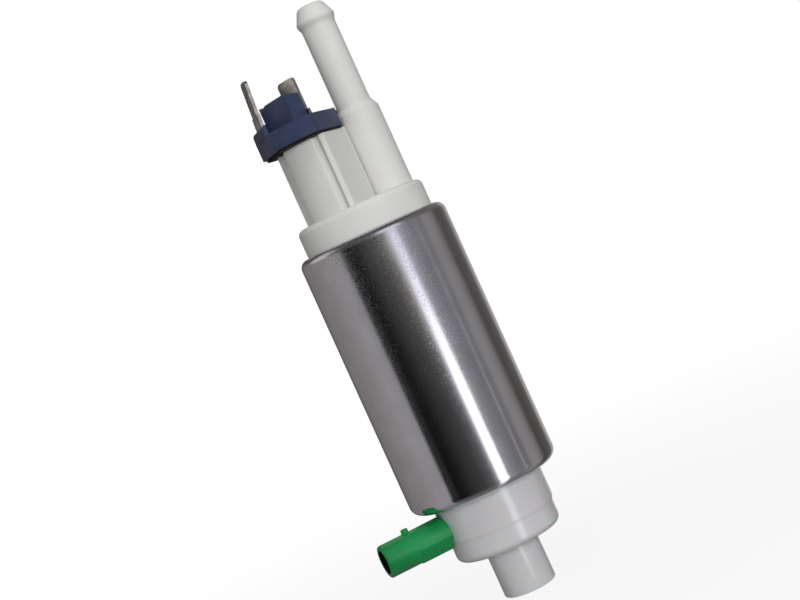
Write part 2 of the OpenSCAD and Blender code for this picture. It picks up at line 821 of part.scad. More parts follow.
module armature_insulator_lower() {
    color("whitesmoke") {
        translate([0, 0, core_z - insulator_t]) linear_extrude(insulator_t)
            lamination(armature_r - hub_inset);
        ring(hub_r, shaft_r, core_z - insulator_t - end_turn_h, end_turn_h);
    }
}

module armature_windings() {
    low = core_z - insulator_t - end_turn_h;
    high = core_top + insulator_t;
    color("orangered") union() {
        for (z = [low, high]) ring(slot_top_r - coil_gap, coil_in_r, z, end_turn_h);
        for (i = [1:slot_count]) rotate((i + 0.5) * 360 / slot_count)
            translate([0, 0, low + coil_end_gap])
                linear_extrude(high - low + end_turn_h - 2 * coil_end_gap) slot(-coil_gap);
    }
}

module commutator_hub() {
    color("saddlebrown") {
        ring(commutator_d / 2 - hub_inset, shaft_r, commutator_z, commutator_h);
        ring(hub_r, shaft_r, segment_z, cap_z - washer_t - 2 * washer_gap - segment_z);
    }
}

module commutator_segments() {
    color("peru") translate([0, 0, segment_z]) linear_extrude(segment_t) difference() {
        circle(r = commutator_d / 2, $fn = 96);
        circle(r = segment_in_r);
        for (i = [1:slot_count]) rotate(i * 360 / slot_count)
            translate([0, -segment_gap / 2]) square([commutator_d, segment_gap]);
    }
}

module thrust_washer_upper() {
    color("gold") ring(hub_r, shaft_r, cap_z - washer_t - washer_gap, washer_t);
}

module thrust_washer_lower() {
    low = outlet_plate_top + bearing_rise + washer_gap;
    color("gold") ring(hub_r, shaft_r, low, core_z - insulator_t - end_turn_h - low);
}

module lower_bearing() {
    color("darkgoldenrod") ring(bearing_r, shaft_r + run_gap,
        outlet_plate_top + bearing_rise - lower_bearing_h, lower_bearing_h);
}

module drive_coupling() {
    color("linen") {
        ring(coupling_r, shaft_r, outlet_plate_z + rotor_gap, coupling_t);
        for (a = [0:120:240]) rotate(a)
            translate([coupling_pin_pitch, 0, outlet_plate_z + rotor_gap - coupling_pin_l])
                cylinder(h = coupling_pin_l + seat_gap, r = coupling_pin_r, $fn = 32);
    }
}

// Outline of the inner rotor: the path of a tooth's centre as the outer rotor rolls round
// it, moved in by the tooth's radius
function rotor_path(t) = [tooth_circle_r * cos(t) + eccentricity * cos(teeth * t),
    tooth_circle_r * sin(t) + eccentricity * sin(teeth * t)];
function rotor_slope(t) = [-tooth_circle_r * sin(t) - teeth * eccentricity * sin(teeth * t),
    tooth_circle_r * cos(t) + teeth * eccentricity * cos(teeth * t)];
function rotor_point(t) = let (s = rotor_slope(t))
    rotor_path(t) - (tooth_r + mesh_gap) * [s[1], -s[0]] / norm(s);

// Points crowd together in the valleys, where the outline turns fastest
function rotor_angle(i) = let (a = 360 * i / profile_points)
    a + profile_crowding * sin(lobes * a) / lobes * 180 / PI;

module inner_rotor() {
    color("darkgray") translate([0, 0, cam_z + rotor_gap])
        linear_extrude(cam_h - 2 * rotor_gap) difference() {
            polygon([for (i = [0:profile_points - 1]) rotor_point(rotor_angle(i))]);
            circle(r = shaft_r);
            for (a = [0:120:240]) rotate(a) translate([coupling_pin_pitch, 0])
                circle(r = coupling_pin_r + slide_gap, $fn = 32);
        }
}

module outer_rotor() {
    color("gray") translate([eccentricity, 0, cam_z + rotor_gap])
        linear_extrude(cam_h - 2 * rotor_gap) union() {
            difference() {
                circle(r = ring_r, $fn = 128);
                circle(r = ring_root_r, $fn = 96);
            }
            for (i = [1:teeth]) rotate(i * 360 / teeth) translate([tooth_circle_r, 0])
                circle(r = tooth_r);
        }
}

// The four holes for the pump's screws
module screw_holes(z, h) {
    for (a = screw_angles) rotate(a) translate([screw_pitch_r, 0, z])
        cylinder(h = h, r = screw_r + screw_gap, $fn = 32);
}

// A curved port on one side of the rotors: side is 1 for the outlet, -1 for the inlet
module port(side, z, h) {
    translate([eccentricity / 2, 0, z]) rotate(side > 0 ? port_from_a : -port_to_a)
        rotate_extrude(angle = port_to_a - port_from_a)
            translate([port_in_r, 0]) square([port_out_r - port_in_r, h]);
}

module cam_ring() {
    color("dimgray") difference() {
        ring(insert_r, 0, cam_z, cam_h);
        translate([eccentricity, 0, cam_z - eps])
            cylinder(h = cam_h + 2 * eps, r = cam_bore_r, $fn = 128);
        translate([relief_x, 0, cam_z - eps]) cylinder(h = cam_h + 2 * eps, r = relief_bore_r);
        screw_holes(cam_z - eps, cam_h + 2 * eps);
    }
}

module outlet_port_plate() {
    recess_h = coupling_t + 2 * rotor_gap;
    color("lightslategray") difference() {
        ring(insert_r, 0, outlet_plate_z, outlet_plate_t);
        ring(bearing_r, 0, outlet_plate_z + recess_h, outlet_plate_t);
        ring(coupling_r + coupling_gap, 0, outlet_plate_z - eps, recess_h + eps);
        port(1, outlet_plate_z - eps, outlet_plate_t + 2 * eps);
        translate([relief_x, 0, outlet_plate_z - eps])
            cylinder(h = outlet_plate_t + 2 * eps, r = relief_seat_r, $fn = 32);
        screw_holes(outlet_plate_z - eps, screw_depth + eps);
    }
}

module inlet_port_plate() {
    color("lightslategray") difference() {
        ring(insert_r, 0, inlet_plate_z, inlet_plate_t);
        ring(shaft_r + run_gap, 0, cam_z - pilot_l - pilot_gap, pilot_l + pilot_gap + eps);
        port(-1, inlet_plate_z - eps, inlet_plate_t + 2 * eps);
        translate([relief_x, 0, inlet_plate_z - eps])
            cylinder(h = inlet_plate_t + 2 * eps, r = relief_seat_r, $fn = 32);
        screw_holes(inlet_plate_z - eps, inlet_plate_t + 2 * eps);
        for (a = screw_angles) rotate(a) translate([screw_pitch_r, 0, inlet_plate_z - eps])
            cylinder(h = screw_head_h + eps, r = screw_head_r + screw_gap);
    }
}

module pump_screws() {
    head_z = inlet_plate_z + screw_head_drop;
    end_z = outlet_plate_z + screw_depth - screw_end_gap;
    color("silver") for (a = screw_angles) rotate(a) translate([screw_pitch_r, 0, 0])
        difference() {
            union() {
                ring(screw_head_r, 0, head_z, screw_head_h - screw_head_drop);
                ring(screw_r, 0, head_z + socket_h, end_z - head_z - socket_h);
            }
            translate([0, 0, head_z - eps]) cylinder(h = socket_h + eps, r = socket_r, $fn = 6);
        }
}

module relief_ball() {
    color("silver") translate([relief_x, 0, relief_ball_z]) sphere(r = relief_r);
}

module relief_spring() {
    color("gray") translate([relief_x, 0, 0]) coil_spring(relief_spring_r, relief_wire,
        cam_z + slide_gap, relief_ball_z - relief_r - slide_gap, relief_spring_turns);
}

module inlet_housing() {
    corner = bottom_corner_r - shell_wall;
    upper_end = z_bottom - housing_upper_l;
    profile = concat(
        [[inlet_chamber_r, inlet_plate_z], [insert_r, inlet_plate_z],
         [insert_r, housing_seat_z + corner], [insert_r - corner, housing_seat_z],
         [housing_r, housing_seat_z], [housing_r, upper_end],
         [housing_lower_r, upper_end - housing_step_h]],
        arc(housing_lower_r - housing_edge_r, housing_end_z + housing_edge_r, housing_edge_r,
            0, -90),
        [[tube_r, housing_end_z]],
        arc(tube_r - tube_edge, tube_end_z + tube_edge, tube_edge, 0, -90, 4),
        [[inlet_bore_d / 2, tube_end_z], [inlet_bore_d / 2, chamber_floor_z],
         [inlet_chamber_r, chamber_floor_z]]
    );
    color("gainsboro") difference() {
        union() {
            rotate_extrude($fn = 128) polygon(profile);
            translate([-inlet_chamber_r - housing_wall / 2, 0, nozzle_z]) rotate([0, 90, 0])
                cylinder(h = inlet_chamber_r + housing_wall / 2 - spigot_boss_x,
                    r = spigot_boss_r);
        }
        ring(insert_r + eps, groove_r, housing_groove_z, groove_h);
        translate([-housing_r - eps, 0, nozzle_z]) rotate([0, 90, 0])
            cylinder(h = housing_r + eps - spigot_boss_x + eps, r = spigot_r);
        translate([relief_x - relief_seat_r, -relief_seat_r, inlet_plate_z - relief_seat_r])
            cube([relief_seat_r * 2 + insert_r - inlet_chamber_r, relief_seat_r * 2,
                relief_seat_r + eps]);
    }
}

module inlet_seal() {
    color("black") o_ring(seal_r, seal_wire_r, housing_groove_z + groove_h / 2);
}

// Cross-section of the nozzle's root: round above, flat-sided below; X is up
module nozzle_root_section() {
    side = nozzle_r;
    lift = atan(nozzle_flat / side);
    polygon(concat(
        arc(0, 0, root_round_r, 90 - lift, lift - 90, 20),
        [[-nozzle_flat, -side], [-side, -nozzle_base], [-side, nozzle_base],
         [-nozzle_flat, side]]));
}

module jet_nozzle() {
    bore_end = nozzle_reach - nozzle_bore_l;
    color("seagreen") difference() {
        union() {
            translate([0, 0, nozzle_z]) rotate([0, -90, 0]) rotate_extrude() polygon([
                [0, spigot_end_x], [spigot_r, spigot_end_x], [spigot_r, nozzle_step_x],
                [sleeve_r, nozzle_step_x], [sleeve_r, sleeve_end_x],
                [nozzle_r, sleeve_end_x], [nozzle_r, nozzle_reach - nozzle_tip_edge],
                [nozzle_r - nozzle_tip_edge, nozzle_reach], [0, nozzle_reach]]);
            translate([0, 0, nozzle_z]) rotate([0, -90, 0]) difference() {
                translate([0, 0, inlet_chamber_r])
                    linear_extrude(nozzle_step_x - inlet_chamber_r) nozzle_root_section();
                rotate([0, 90, 0]) translate([0, 0, -shell_r])
                    cylinder(h = shell_d, r = housing_r + slide_gap, $fn = 128);
            }
            translate([-peg_x, 0, nozzle_z])
                cylinder(h = nozzle_r + peg_h, r = peg_d / 2, $fn = 32);
        }
        translate([-nozzle_reach - eps, 0, nozzle_z]) rotate([0, 90, 0])
            cylinder(h = nozzle_bore_l + eps, r = nozzle_bore_d / 2);
        translate([-bore_end - eps, 0, nozzle_z]) rotate([0, 90, 0])
            cylinder(h = bore_end - spigot_end_x + 2 * eps, r = spigot_r - spigot_wall, $fn = 32);
        translate([-nozzle_seal_x, 0, nozzle_z]) rotate([0, 90, 0])
            ring(spigot_r + eps, nozzle_groove_r, -nozzle_groove_w / 2, nozzle_groove_w);
    }
}

module nozzle_seal() {
    color("black") translate([-nozzle_seal_x, 0, nozzle_z]) rotate([0, 90, 0]) rotate_extrude()
        translate([spigot_r - nozzle_seal_wire_r - nozzle_seal_drop, 0])
            circle(r = nozzle_seal_wire_r, $fn = 24);
}

shell();
outlet_cap();
outlet_cap_seal();
check_valve_seat();
check_valve_poppet();
check_valve_spring();
upper_bearing();
retainer_gasket();
terminal_retainer();
positive_terminal();
negative_terminal();
brush(brush_angles[0]);  // brush_positive
brush(brush_angles[1]);  // brush_negative
brush_spring(brush_angles[0]);  // brush_spring_positive
brush_spring(brush_angles[1]);  // brush_spring_negative
brush_lead(brush_angles[0]);  // brush_lead_positive
brush_lead(brush_angles[1]);  // brush_lead_negative
flux_ring();
magnet(1);  // magnet_1
magnet(2);  // magnet_2
magnet(3);  // magnet_3
magnet(4);  // magnet_4
magnet_clips();
rotor_shaft();
armature_core();
armature_windings();
armature_insulator_upper();
armature_insulator_lower();
commutator_hub();
commutator_segments();
thrust_washer_upper();
thrust_washer_lower();
lower_bearing();
drive_coupling();
inner_rotor();
outer_rotor();
cam_ring();
outlet_port_plate();
inlet_port_plate();
pump_screws();
relief_ball();
relief_spring();
inlet_housing();
inlet_seal();
jet_nozzle();
nozzle_seal();
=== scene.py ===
"""An in-tank electric fuel pump, dressed for a product picture.

The scene is in metres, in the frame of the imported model: the origin is the middle of the steel
shell, +Z runs to the outlet and the jet nozzle points along -X. The pump's own sizes are written
in millimetres, and MM turns them into metres.
"""
import math

import bmesh
import bpy
from mathutils import Matrix, Vector
from mathutils.geometry import tessellate_polygon


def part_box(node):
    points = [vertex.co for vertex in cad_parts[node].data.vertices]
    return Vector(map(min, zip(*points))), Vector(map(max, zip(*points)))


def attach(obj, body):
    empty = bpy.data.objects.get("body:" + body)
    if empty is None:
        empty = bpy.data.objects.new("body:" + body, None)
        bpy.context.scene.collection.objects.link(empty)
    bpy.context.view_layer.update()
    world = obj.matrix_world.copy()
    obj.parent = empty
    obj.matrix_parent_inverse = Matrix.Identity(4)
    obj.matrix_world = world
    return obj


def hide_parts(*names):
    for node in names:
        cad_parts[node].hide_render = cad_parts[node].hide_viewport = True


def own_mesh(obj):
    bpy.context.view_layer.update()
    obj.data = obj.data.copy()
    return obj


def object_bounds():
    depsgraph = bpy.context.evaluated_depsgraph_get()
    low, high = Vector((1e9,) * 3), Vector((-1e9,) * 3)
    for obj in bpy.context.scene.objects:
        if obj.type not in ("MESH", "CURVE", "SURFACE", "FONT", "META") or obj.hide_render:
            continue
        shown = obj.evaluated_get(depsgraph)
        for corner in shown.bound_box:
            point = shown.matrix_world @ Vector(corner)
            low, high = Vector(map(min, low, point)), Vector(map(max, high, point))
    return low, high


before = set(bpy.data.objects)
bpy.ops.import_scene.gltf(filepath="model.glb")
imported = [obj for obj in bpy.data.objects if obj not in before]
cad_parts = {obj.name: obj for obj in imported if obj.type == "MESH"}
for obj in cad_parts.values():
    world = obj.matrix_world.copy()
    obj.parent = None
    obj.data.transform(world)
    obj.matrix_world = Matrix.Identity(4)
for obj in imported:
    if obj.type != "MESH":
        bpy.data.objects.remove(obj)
cad_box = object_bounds()
MM = 0.001

# Camera. The photograph looks almost level at the pump, a little from the left of its front,
# and is turned so that the outlet leans to the left.
PHOTO_WIDTH = 800
SCALE_PX_MM = 4.13
CAMERA_DISTANCE = 424 * MM
CAMERA_AZIMUTH = math.radians(16)
CAMERA_HEIGHT = 23.65 * MM
AIM_SIDE, AIM_HEIGHT = -0.28 * MM, 15.75 * MM
LEAN = math.radians(24.35)
SENSOR_MM = 36
CLIP_START = 20 * MM

picture_right = Vector((math.cos(CAMERA_AZIMUTH), -math.sin(CAMERA_AZIMUTH), 0))
to_camera = Vector((-math.sin(CAMERA_AZIMUTH), -math.cos(CAMERA_AZIMUTH), 0))
camera_data = bpy.data.cameras.new("camera")
camera_data.sensor_width = SENSOR_MM
camera_data.lens = SCALE_PX_MM / MM * CAMERA_DISTANCE * SENSOR_MM / PHOTO_WIDTH
camera_data.clip_start = CLIP_START
camera = bpy.data.objects.new("camera", camera_data)
bpy.context.scene.collection.objects.link(camera)
bpy.context.scene.camera = camera
eye = to_camera * CAMERA_DISTANCE + Vector((0, 0, CAMERA_HEIGHT))
aim = picture_right * AIM_SIDE + Vector((0, 0, AIM_HEIGHT))
back = (eye - aim).normalized()
side = Vector((0, 0, 1)).cross(back).normalized()
up = back.cross(side)
facing = Matrix((side, up, back)).transposed().to_4x4()
camera.matrix_world = Matrix.Translation(eye) @ facing @ Matrix.Rotation(-LEAN, 4, "Z")

# Studio floor and sky. A pale matt floor under the pump, and white behind it: both show white
# to the camera and in the metal, and the floor keeps the pump's soft shadow.
FLOOR_SIZE, FLOOR_TILES = 6.0, 8
FLOOR_GAP = 0.2 * MM
FLOOR_GREY = 0.38
NEAR_WHITE_SHARE = 0.9
NEAR_R, FAR_R = 0.05, 0.3
SKY_GREY, SKY_LIGHT = 0.8, 0.33


def new_material(name):
    """A material with empty nodes: returns it, its nodes and its links."""
    made = bpy.data.materials.new(name)
    made.use_nodes = True
    made.node_tree.nodes.clear()
    return made, made.node_tree.nodes, made.node_tree.links


def both_values(nodes, links, operation, one, other):
    """What one operation makes of two values."""
    made = nodes.new("ShaderNodeMath")
    made.operation = operation
    links.new(one, made.inputs[0])
    links.new(other, made.inputs[1])
    return made.outputs[0]


def ranged(nodes, links, value, start, end, low=0.0, high=1.0):
    """Goes from low to high while a value goes from start to end, and stays there beyond."""
    made = nodes.new("ShaderNodeMapRange")
    for socket, number in (("From Min", start), ("From Max", end), ("To Min", low), ("To Max", high)):
        made.inputs[socket].default_value = number
    links.new(value, made.inputs["Value"])
    return made.outputs[0]


def own_place(nodes):
    """Each point's place on its own object, in metres."""
    return nodes.new("ShaderNodeTexCoord").outputs["Object"]


def length_of(nodes, links, vector):
    """A vector's length."""
    made = nodes.new("ShaderNodeVectorMath")
    made.operation = "LENGTH"
    links.new(vector, made.inputs[0])
    return made.outputs["Value"]


def seen_directly(nodes, links):
    """1 for a ray from the camera, a mirror or glass, and 0 for the rays that carry light."""
    ray = nodes.new("ShaderNodeLightPath").outputs
    seen = both_values(nodes, links, "MAXIMUM", ray["Is Camera Ray"], ray["Is Glossy Ray"])
    return both_values(nodes, links, "MAXIMUM", seen, ray["Is Transmission Ray"])


def shader_mix(nodes, links, share, one, other):
    """One shader where the share is 0, and the other where it is 1."""
    made = nodes.new("ShaderNodeMixShader")
    links.new(share, made.inputs[0])
    links.new(one.outputs[0], made.inputs[1])
    links.new(other.outputs[0], made.inputs[2])
    return made.outputs[0]


def studio_piece(name, mesh, made):
    """Makes a studio object of a finished mesh and paints it."""
    data = bpy.data.meshes.new(name)
    mesh.to_mesh(data)
    mesh.free()
    data.materials.append(made)
    piece = bpy.data.objects.new(name, data)
    bpy.context.scene.collection.objects.link(piece)
    return piece


floor_paint, nodes, links = new_material("floor_paint")
matt = nodes.new("ShaderNodeBsdfDiffuse")
matt.inputs["Color"].default_value = (FLOOR_GREY, FLOOR_GREY, FLOOR_GREY, 1)
white = nodes.new("ShaderNodeEmission")
away = length_of(nodes, links, own_place(nodes))
whiter = ranged(nodes, links, away, NEAR_R, FAR_R, NEAR_WHITE_SHARE)
share = both_values(nodes, links, "MULTIPLY", seen_directly(nodes, links), whiter)
painted = shader_mix(nodes, links, share, matt, white)
links.new(painted, nodes.new("ShaderNodeOutputMaterial").inputs["Surface"])
floor_mesh = bmesh.new()
bmesh.ops.create_grid(
    floor_mesh, x_segments=FLOOR_TILES, y_segments=FLOOR_TILES, size=FLOOR_SIZE / 2)
floor = studio_piece("studio_floor", floor_mesh, floor_paint)
floor.location.z = cad_box[0][2] - FLOOR_GAP

world = bpy.data.worlds.new("studio")
world.use_nodes = True
bpy.context.scene.world = world
nodes, links = world.node_tree.nodes, world.node_tree.links
nodes.clear()
light = nodes.new("ShaderNodeBackground")
light.inputs["Color"].default_value = (SKY_GREY, SKY_GREY, SKY_GREY, 1)
light.inputs["Strength"].default_value = SKY_LIGHT
backdrop = nodes.new("ShaderNodeBackground")
backdrop.inputs["Color"].default_value = (1, 1, 1, 1)
painted = shader_mix(nodes, links, seen_directly(nodes, links), light, backdrop)
links.new(painted, nodes.new("ShaderNodeOutputWorld").inputs["Surface"])
bpy.context.scene.view_settings.view_transform = "Standard"

# Lamps. A large soft lamp on the camera's right is the main light, a weaker one beside the
# camera opens the shadow between the two towers, and one overhead lights what lies flat.
LAMP_DISTANCE = 1.1


def soft_lamp(name, degrees, height, width, watts):
    """A square lamp that looks at the pump; degrees run to the right from the camera."""
    lamp = bpy.data.lights.new(name, "AREA")
    lamp.size = width
    lamp.energy = watts
    stand = bpy.data.objects.new(name, lamp)
    bpy.context.scene.collection.objects.link(stand)
    turn = math.radians(degrees)
    flat = to_camera * math.cos(turn) + picture_right * math.sin(turn)
    rise = math.radians(height)
    from_pump = flat * math.cos(rise) + Vector((0, 0, math.sin(rise)))
    stand.location = from_pump * LAMP_DISTANCE
    stand.rotation_euler = from_pump.to_track_quat("Z", "Y").to_euler()
    stand.visible_glossy = False


soft_lamp("key_lamp", degrees=28, height=9, width=0.4, watts=5.2)
soft_lamp("fill_lamp", degrees=-10, height=7, width=0.4, watts=3.1)
soft_lamp("top_lamp", degrees=10, height=68, width=0.5, watts=3.2)

# Screen. A round tent of pale and dark cloth stands round the pump, out of the picture; what
# the bright steel shows of it gives the shell its upright bands.
SCREEN_STEPS = 96
# Radius and height of the tent's wall, in metres
SCREEN_PROFILE = [(0.0072, -0.0608), (0.19, -0.0608), (0.19, 0.09), (0.17, 0.30), (0.01, 0.36)]
WARM, PLAIN, COOL = (1.04, 0.985, 0.95), (1.0, 0.98, 1.0), (0.985, 0.985, 1.05)
# Angle from the camera's direction, to its right, and the cloth's brightness and tint there
LOW_TONES = [
    (-180, 0.25, WARM), (-165, 0.10, WARM), (-155, 0.12, WARM), (-140, 0.22, WARM),
    (-112, 0.27, WARM), (-85, 0.34, PLAIN), (-70, 0.38, PLAIN), (-53, 0.37, PLAIN),
    (-49, 0.025, PLAIN), (-42, 0.03, COOL), (-38, 0.008, COOL), (-28, 0.014, COOL),
    (-16, 0.035, WARM), (1, 0.065, PLAIN), (13, 0.13, PLAIN), (19, 0.34, COOL), (24, 2.2, COOL),
    (32, 2.2, COOL), (36, 0.40, COOL), (47, 0.28, COOL), (58, 0.22, COOL), (63, 0.22, COOL),
    (65, 0.44, COOL), (67, 0.22, COOL), (74, 0.21, COOL), (78, 0.31, PLAIN), (89, 0.30, PLAIN),
    (99, 0.23, WARM), (109, 0.08, WARM), (136, 0.13, WARM), (150, 0.5, WARM), (180, 0.30, WARM),
]
BRIGHTEST = max(tone for _, tone, _ in LOW_TONES)
# Higher up the bright strip is dimmer and bluer, and its dark side hazier
DIM_STRIP, VIOLET = 1.0, (0.93, 0.93, 1.12)
HAZE, HAZE_FROM, HAZE_TO, OLIVE = 1.7, -30, 20, (1.0, 1.01, 0.92)
MIDDLE_TONES = [(degrees, tone * HAZE, OLIVE) if HAZE_FROM <= degrees <= HAZE_TO
                else (degrees, min(tone, DIM_STRIP), VIOLET if tone > DIM_STRIP else tint)
                for degrees, tone, tint in LOW_TONES]
# The cloth that the shell's upper roll shows
HIGH_TONES = [
    (-180, 1.0, PLAIN), (-168, 1.0, PLAIN), (-160, 0.08, WARM), (-130, 0.10, WARM),
    (-112, 0.70, PLAIN), (-88, 0.70, PLAIN), (-74, 0.25, PLAIN), (-50, 0.06, PLAIN),
    (0, 0.15, PLAIN), (16, 0.9, COOL), (40, 0.9, COOL), (52, 0.2, COOL), (120, 0.15, WARM),
    (164, 0.2, WARM), (172, 1.0, PLAIN), (180, 1.0, PLAIN),
]
LOW_TO_MIDDLE, MIDDLE_TO_HIGH, HIGH_TO_ROOF = (-0.02, 0.034), (0.085, 0.10), (0.22, 0.28)
ROOF_TONE = 0.10
# The cloth close under the pump, seen in the shell's lower roll
MAT_TONE = 0.20
MAT_TO_LOW = (0.0616, 0.078)
# Sockets of a colour's Mix node, by number, because several share a name
MIX_ONE, MIX_OTHER, MIX_RESULT = 6, 7, 2

screen_cloth, nodes, links = new_material("screen_cloth")
place = own_place(nodes)


def reach_along(direction):
    """How far each point of the screen lies in a direction."""
    made = nodes.new("ShaderNodeVectorMath")
    made.operation = "DOT_PRODUCT"
    made.inputs[1].default_value = direction
    links.new(place, made.inputs[0])
    return made.outputs["Value"]


angle = both_values(
    nodes, links, "ARCTAN2", reach_along(picture_right), reach_along(to_camera))
round_share = ranged(nodes, links, angle, -math.pi, math.pi)


def tone_ramp(stops):
    """The screen's brightness all the way round, as a share of its brightest."""
    ramp = nodes.new("ShaderNodeValToRGB")
    for number, (degrees, tone, tint) in enumerate(stops):
        where = (degrees + 180) / 360
        if number < 2:
            stop = ramp.color_ramp.elements[number]
            stop.position = where
        else:
            stop = ramp.color_ramp.elements.new(where)
        stop.color = tuple(tone / BRIGHTEST * part for part in tint) + (1,)
    links.new(round_share, ramp.inputs[0])
    return ramp.outputs[0]


def change_over(where, below, above, limits):
    """Goes from one brightness to another while a value goes from one limit to the other."""
    mix = nodes.new("ShaderNodeMix")
    mix.data_type = "RGBA"
    links.new(ranged(nodes, links, where, *limits), mix.inputs[0])
    for tone, socket in ((below, mix.inputs[MIX_ONE]), (above, mix.inputs[MIX_OTHER])):
        if isinstance(tone, float):
            socket.default_value = (tone / BRIGHTEST, tone / BRIGHTEST, tone / BRIGHTEST, 1)
        else:
            links.new(tone, socket)
    return mix.outputs[MIX_RESULT]


height = nodes.new("ShaderNodeSeparateXYZ")
links.new(place, height.inputs[0])
walls = change_over(
    height.outputs["Z"], tone_ramp(LOW_TONES), tone_ramp(MIDDLE_TONES), LOW_TO_MIDDLE)
walls = change_over(height.outputs["Z"], walls, tone_ramp(HIGH_TONES), MIDDLE_TO_HIGH)
walls = change_over(height.outputs["Z"], walls, ROOF_TONE, HIGH_TO_ROOF)
cloth = change_over(length_of(nodes, links, place), MAT_TONE, walls, MAT_TO_LOW)
glow = nodes.new("ShaderNodeEmission")
glow.inputs["Strength"].default_value = BRIGHTEST
links.new(cloth, glow.inputs["Color"])
links.new(glow.outputs[0], nodes.new("ShaderNodeOutputMaterial").inputs["Surface"])

screen_mesh = bmesh.new()
columns = []
for step in range(SCREEN_STEPS):
    turn = 2 * math.pi * step / SCREEN_STEPS
    columns.append([screen_mesh.verts.new((r * math.cos(turn), r * math.sin(turn), z))
                    for r, z in SCREEN_PROFILE])
for one, two in zip(columns, columns[1:] + columns[:1]):
    for low in range(len(SCREEN_PROFILE) - 1):
        screen_mesh.faces.new((one[low], two[low], two[low + 1], one[low + 1]))
screen = studio_piece("studio_screen", screen_mesh, screen_cloth)
screen.visible_camera = False
screen.visible_diffuse = False
screen.visible_shadow = False


# Shell. A can of bright plated sheet steel, rolled inwards at both ends over the plastic ends;
# the plating is finely grained and a little cloudy, with more dull specks towards the top.
def principled(name, **sockets):
    """A material with one Principled shader: returns it, its nodes, links and the shader."""
    made, nodes, links = new_material(name)
    shader = nodes.new("ShaderNodeBsdfPrincipled")
    for socket, value in sockets.items():
        shader.inputs[socket.replace("_", " ")].default_value = value
    links.new(shader.outputs[0], nodes.new("ShaderNodeOutputMaterial").inputs["Surface"])
    return made, nodes, links, shader


def grain(nodes, links, size_mm, detail=3.0, stretch=(1, 1, 1)):
    """Noise of a real size in millimetres, fixed to the piece. Returns its value."""
    scaled = nodes.new("ShaderNodeMapping")
    scaled.inputs["Scale"].default_value = stretch
    links.new(own_place(nodes), scaled.inputs["Vector"])
    noise = nodes.new("ShaderNodeTexNoise")
    noise.inputs["Scale"].default_value = 1 / (size_mm * MM)
    noise.inputs["Detail"].default_value = detail
    links.new(scaled.outputs[0], noise.inputs["Vector"])
    return noise.outputs["Fac"]


# Most of the noise lies between these values
NOISE_LOW, NOISE_HIGH = 0.3, 0.7


def blend_colours(nodes, links, value, target, low, high):
    """The noise runs from colour low to colour high."""
    ramp = nodes.new("ShaderNodeValToRGB")
    for stop, where, colour in zip(
            ramp.color_ramp.elements, (NOISE_LOW, NOISE_HIGH), (low, high)):
        stop.position = where
        stop.color = (*colour, 1)
    links.new(value, ramp.inputs[0])
    links.new(ramp.outputs[0], target)


def blend_values(nodes, links, value, target, low, high):
    """The noise runs from value low to value high."""
    links.new(ranged(nodes, links, value, NOISE_LOW, NOISE_HIGH, low, high), target)


def raise_surface(nodes, links, value, shader, height_mm):
    """The noise lifts the surface by up to height_mm."""
    bump = nodes.new("ShaderNodeBump")
    bump.inputs["Distance"].default_value = height_mm * MM
    links.new(value, bump.inputs["Height"])
    links.new(bump.outputs[0], shader.inputs["Normal"])
    return bump


SHELL_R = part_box("shell")[1][0] / MM
SHELL_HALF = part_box("shell")[1][2] / MM
STEEL_DEEPER, STEEL_COLOUR = (0.63, 0.60, 0.62), (0.69, 0.68, 0.71)
STEEL_CLOUD_MM, STEEL_GRAIN_MM, STEEL_GRAIN_HEIGHT_MM = 7, 0.32, 0.009
SPECK_FROM, SPECK_TO = 0.42, 0.72
# How dull the plating is, what a speck adds to that, and how strong the grain is, at each end
EVEN_BOTTOM, EVEN_TOP = 0.06, 0.13
SPECK_BOTTOM, SPECK_TOP = 0.10, 0.30
GRAIN_BOTTOM, GRAIN_TOP = 0.1, 0.35
SHEET = 0.8
TOP_BEND_R, BOTTOM_BEND_R = 2.2, 2.7
TOP_LIP_R, BOTTOM_LIP_R = 16.4, 14.1
LATHE_STEPS, BEND_STEPS = 256, 14
# Edges sharper than this stay crisp
CRISP_DEGREES = 35

plated_steel, nodes, links, shader = principled("plated_steel", Metallic=1.0)
cloud = grain(nodes, links, STEEL_CLOUD_MM, detail=5)
blend_colours(nodes, links, cloud, shader.inputs["Base Color"], STEEL_DEEPER, STEEL_COLOUR)
fine = grain(nodes, links, STEEL_GRAIN_MM)
height = nodes.new("ShaderNodeSeparateXYZ")
links.new(own_place(nodes), height.inputs[0])


def up_the_shell(bottom, top):
    """A value that changes from the shell's bottom to its top."""
    return ranged(nodes, links, height.outputs["Z"], -SHELL_HALF * MM, SHELL_HALF * MM, bottom, top)


specks = ranged(nodes, links, fine, SPECK_FROM, SPECK_TO)
dull = nodes.new("ShaderNodeMath")
dull.operation = "MULTIPLY_ADD"
links.new(specks, dull.inputs[0])
links.new(up_the_shell(SPECK_BOTTOM, SPECK_TOP), dull.inputs[1])
links.new(up_the_shell(EVEN_BOTTOM, EVEN_TOP), dull.inputs[2])
links.new(dull.outputs[0], shader.inputs["Roughness"])
plating = raise_surface(nodes, links, fine, shader, STEEL_GRAIN_HEIGHT_MM)
links.new(up_the_shell(GRAIN_BOTTOM, GRAIN_TOP), plating.inputs["Strength"])


def arc_points(x, y, radius, start, end, steps):
    """Points of an arc in a plan or profile, in degrees."""
    return [(x + radius * math.cos(math.radians(start + (end - start) * i / steps)),
             y + radius * math.sin(math.radians(start + (end - start) * i / steps)))
            for i in range(steps + 1)]


def top_bend(radius, start, end):
    """One side of the sheet round the shell's upper bend."""
    return arc_points(SHELL_R - TOP_BEND_R, SHELL_HALF - TOP_BEND_R, radius, start, end, BEND_STEPS)


def bottom_bend(radius, start, end):
    """One side of the sheet round the shell's lower bend."""
    return arc_points(
        SHELL_R - BOTTOM_BEND_R, BOTTOM_BEND_R - SHELL_HALF, radius, start, end, BEND_STEPS)


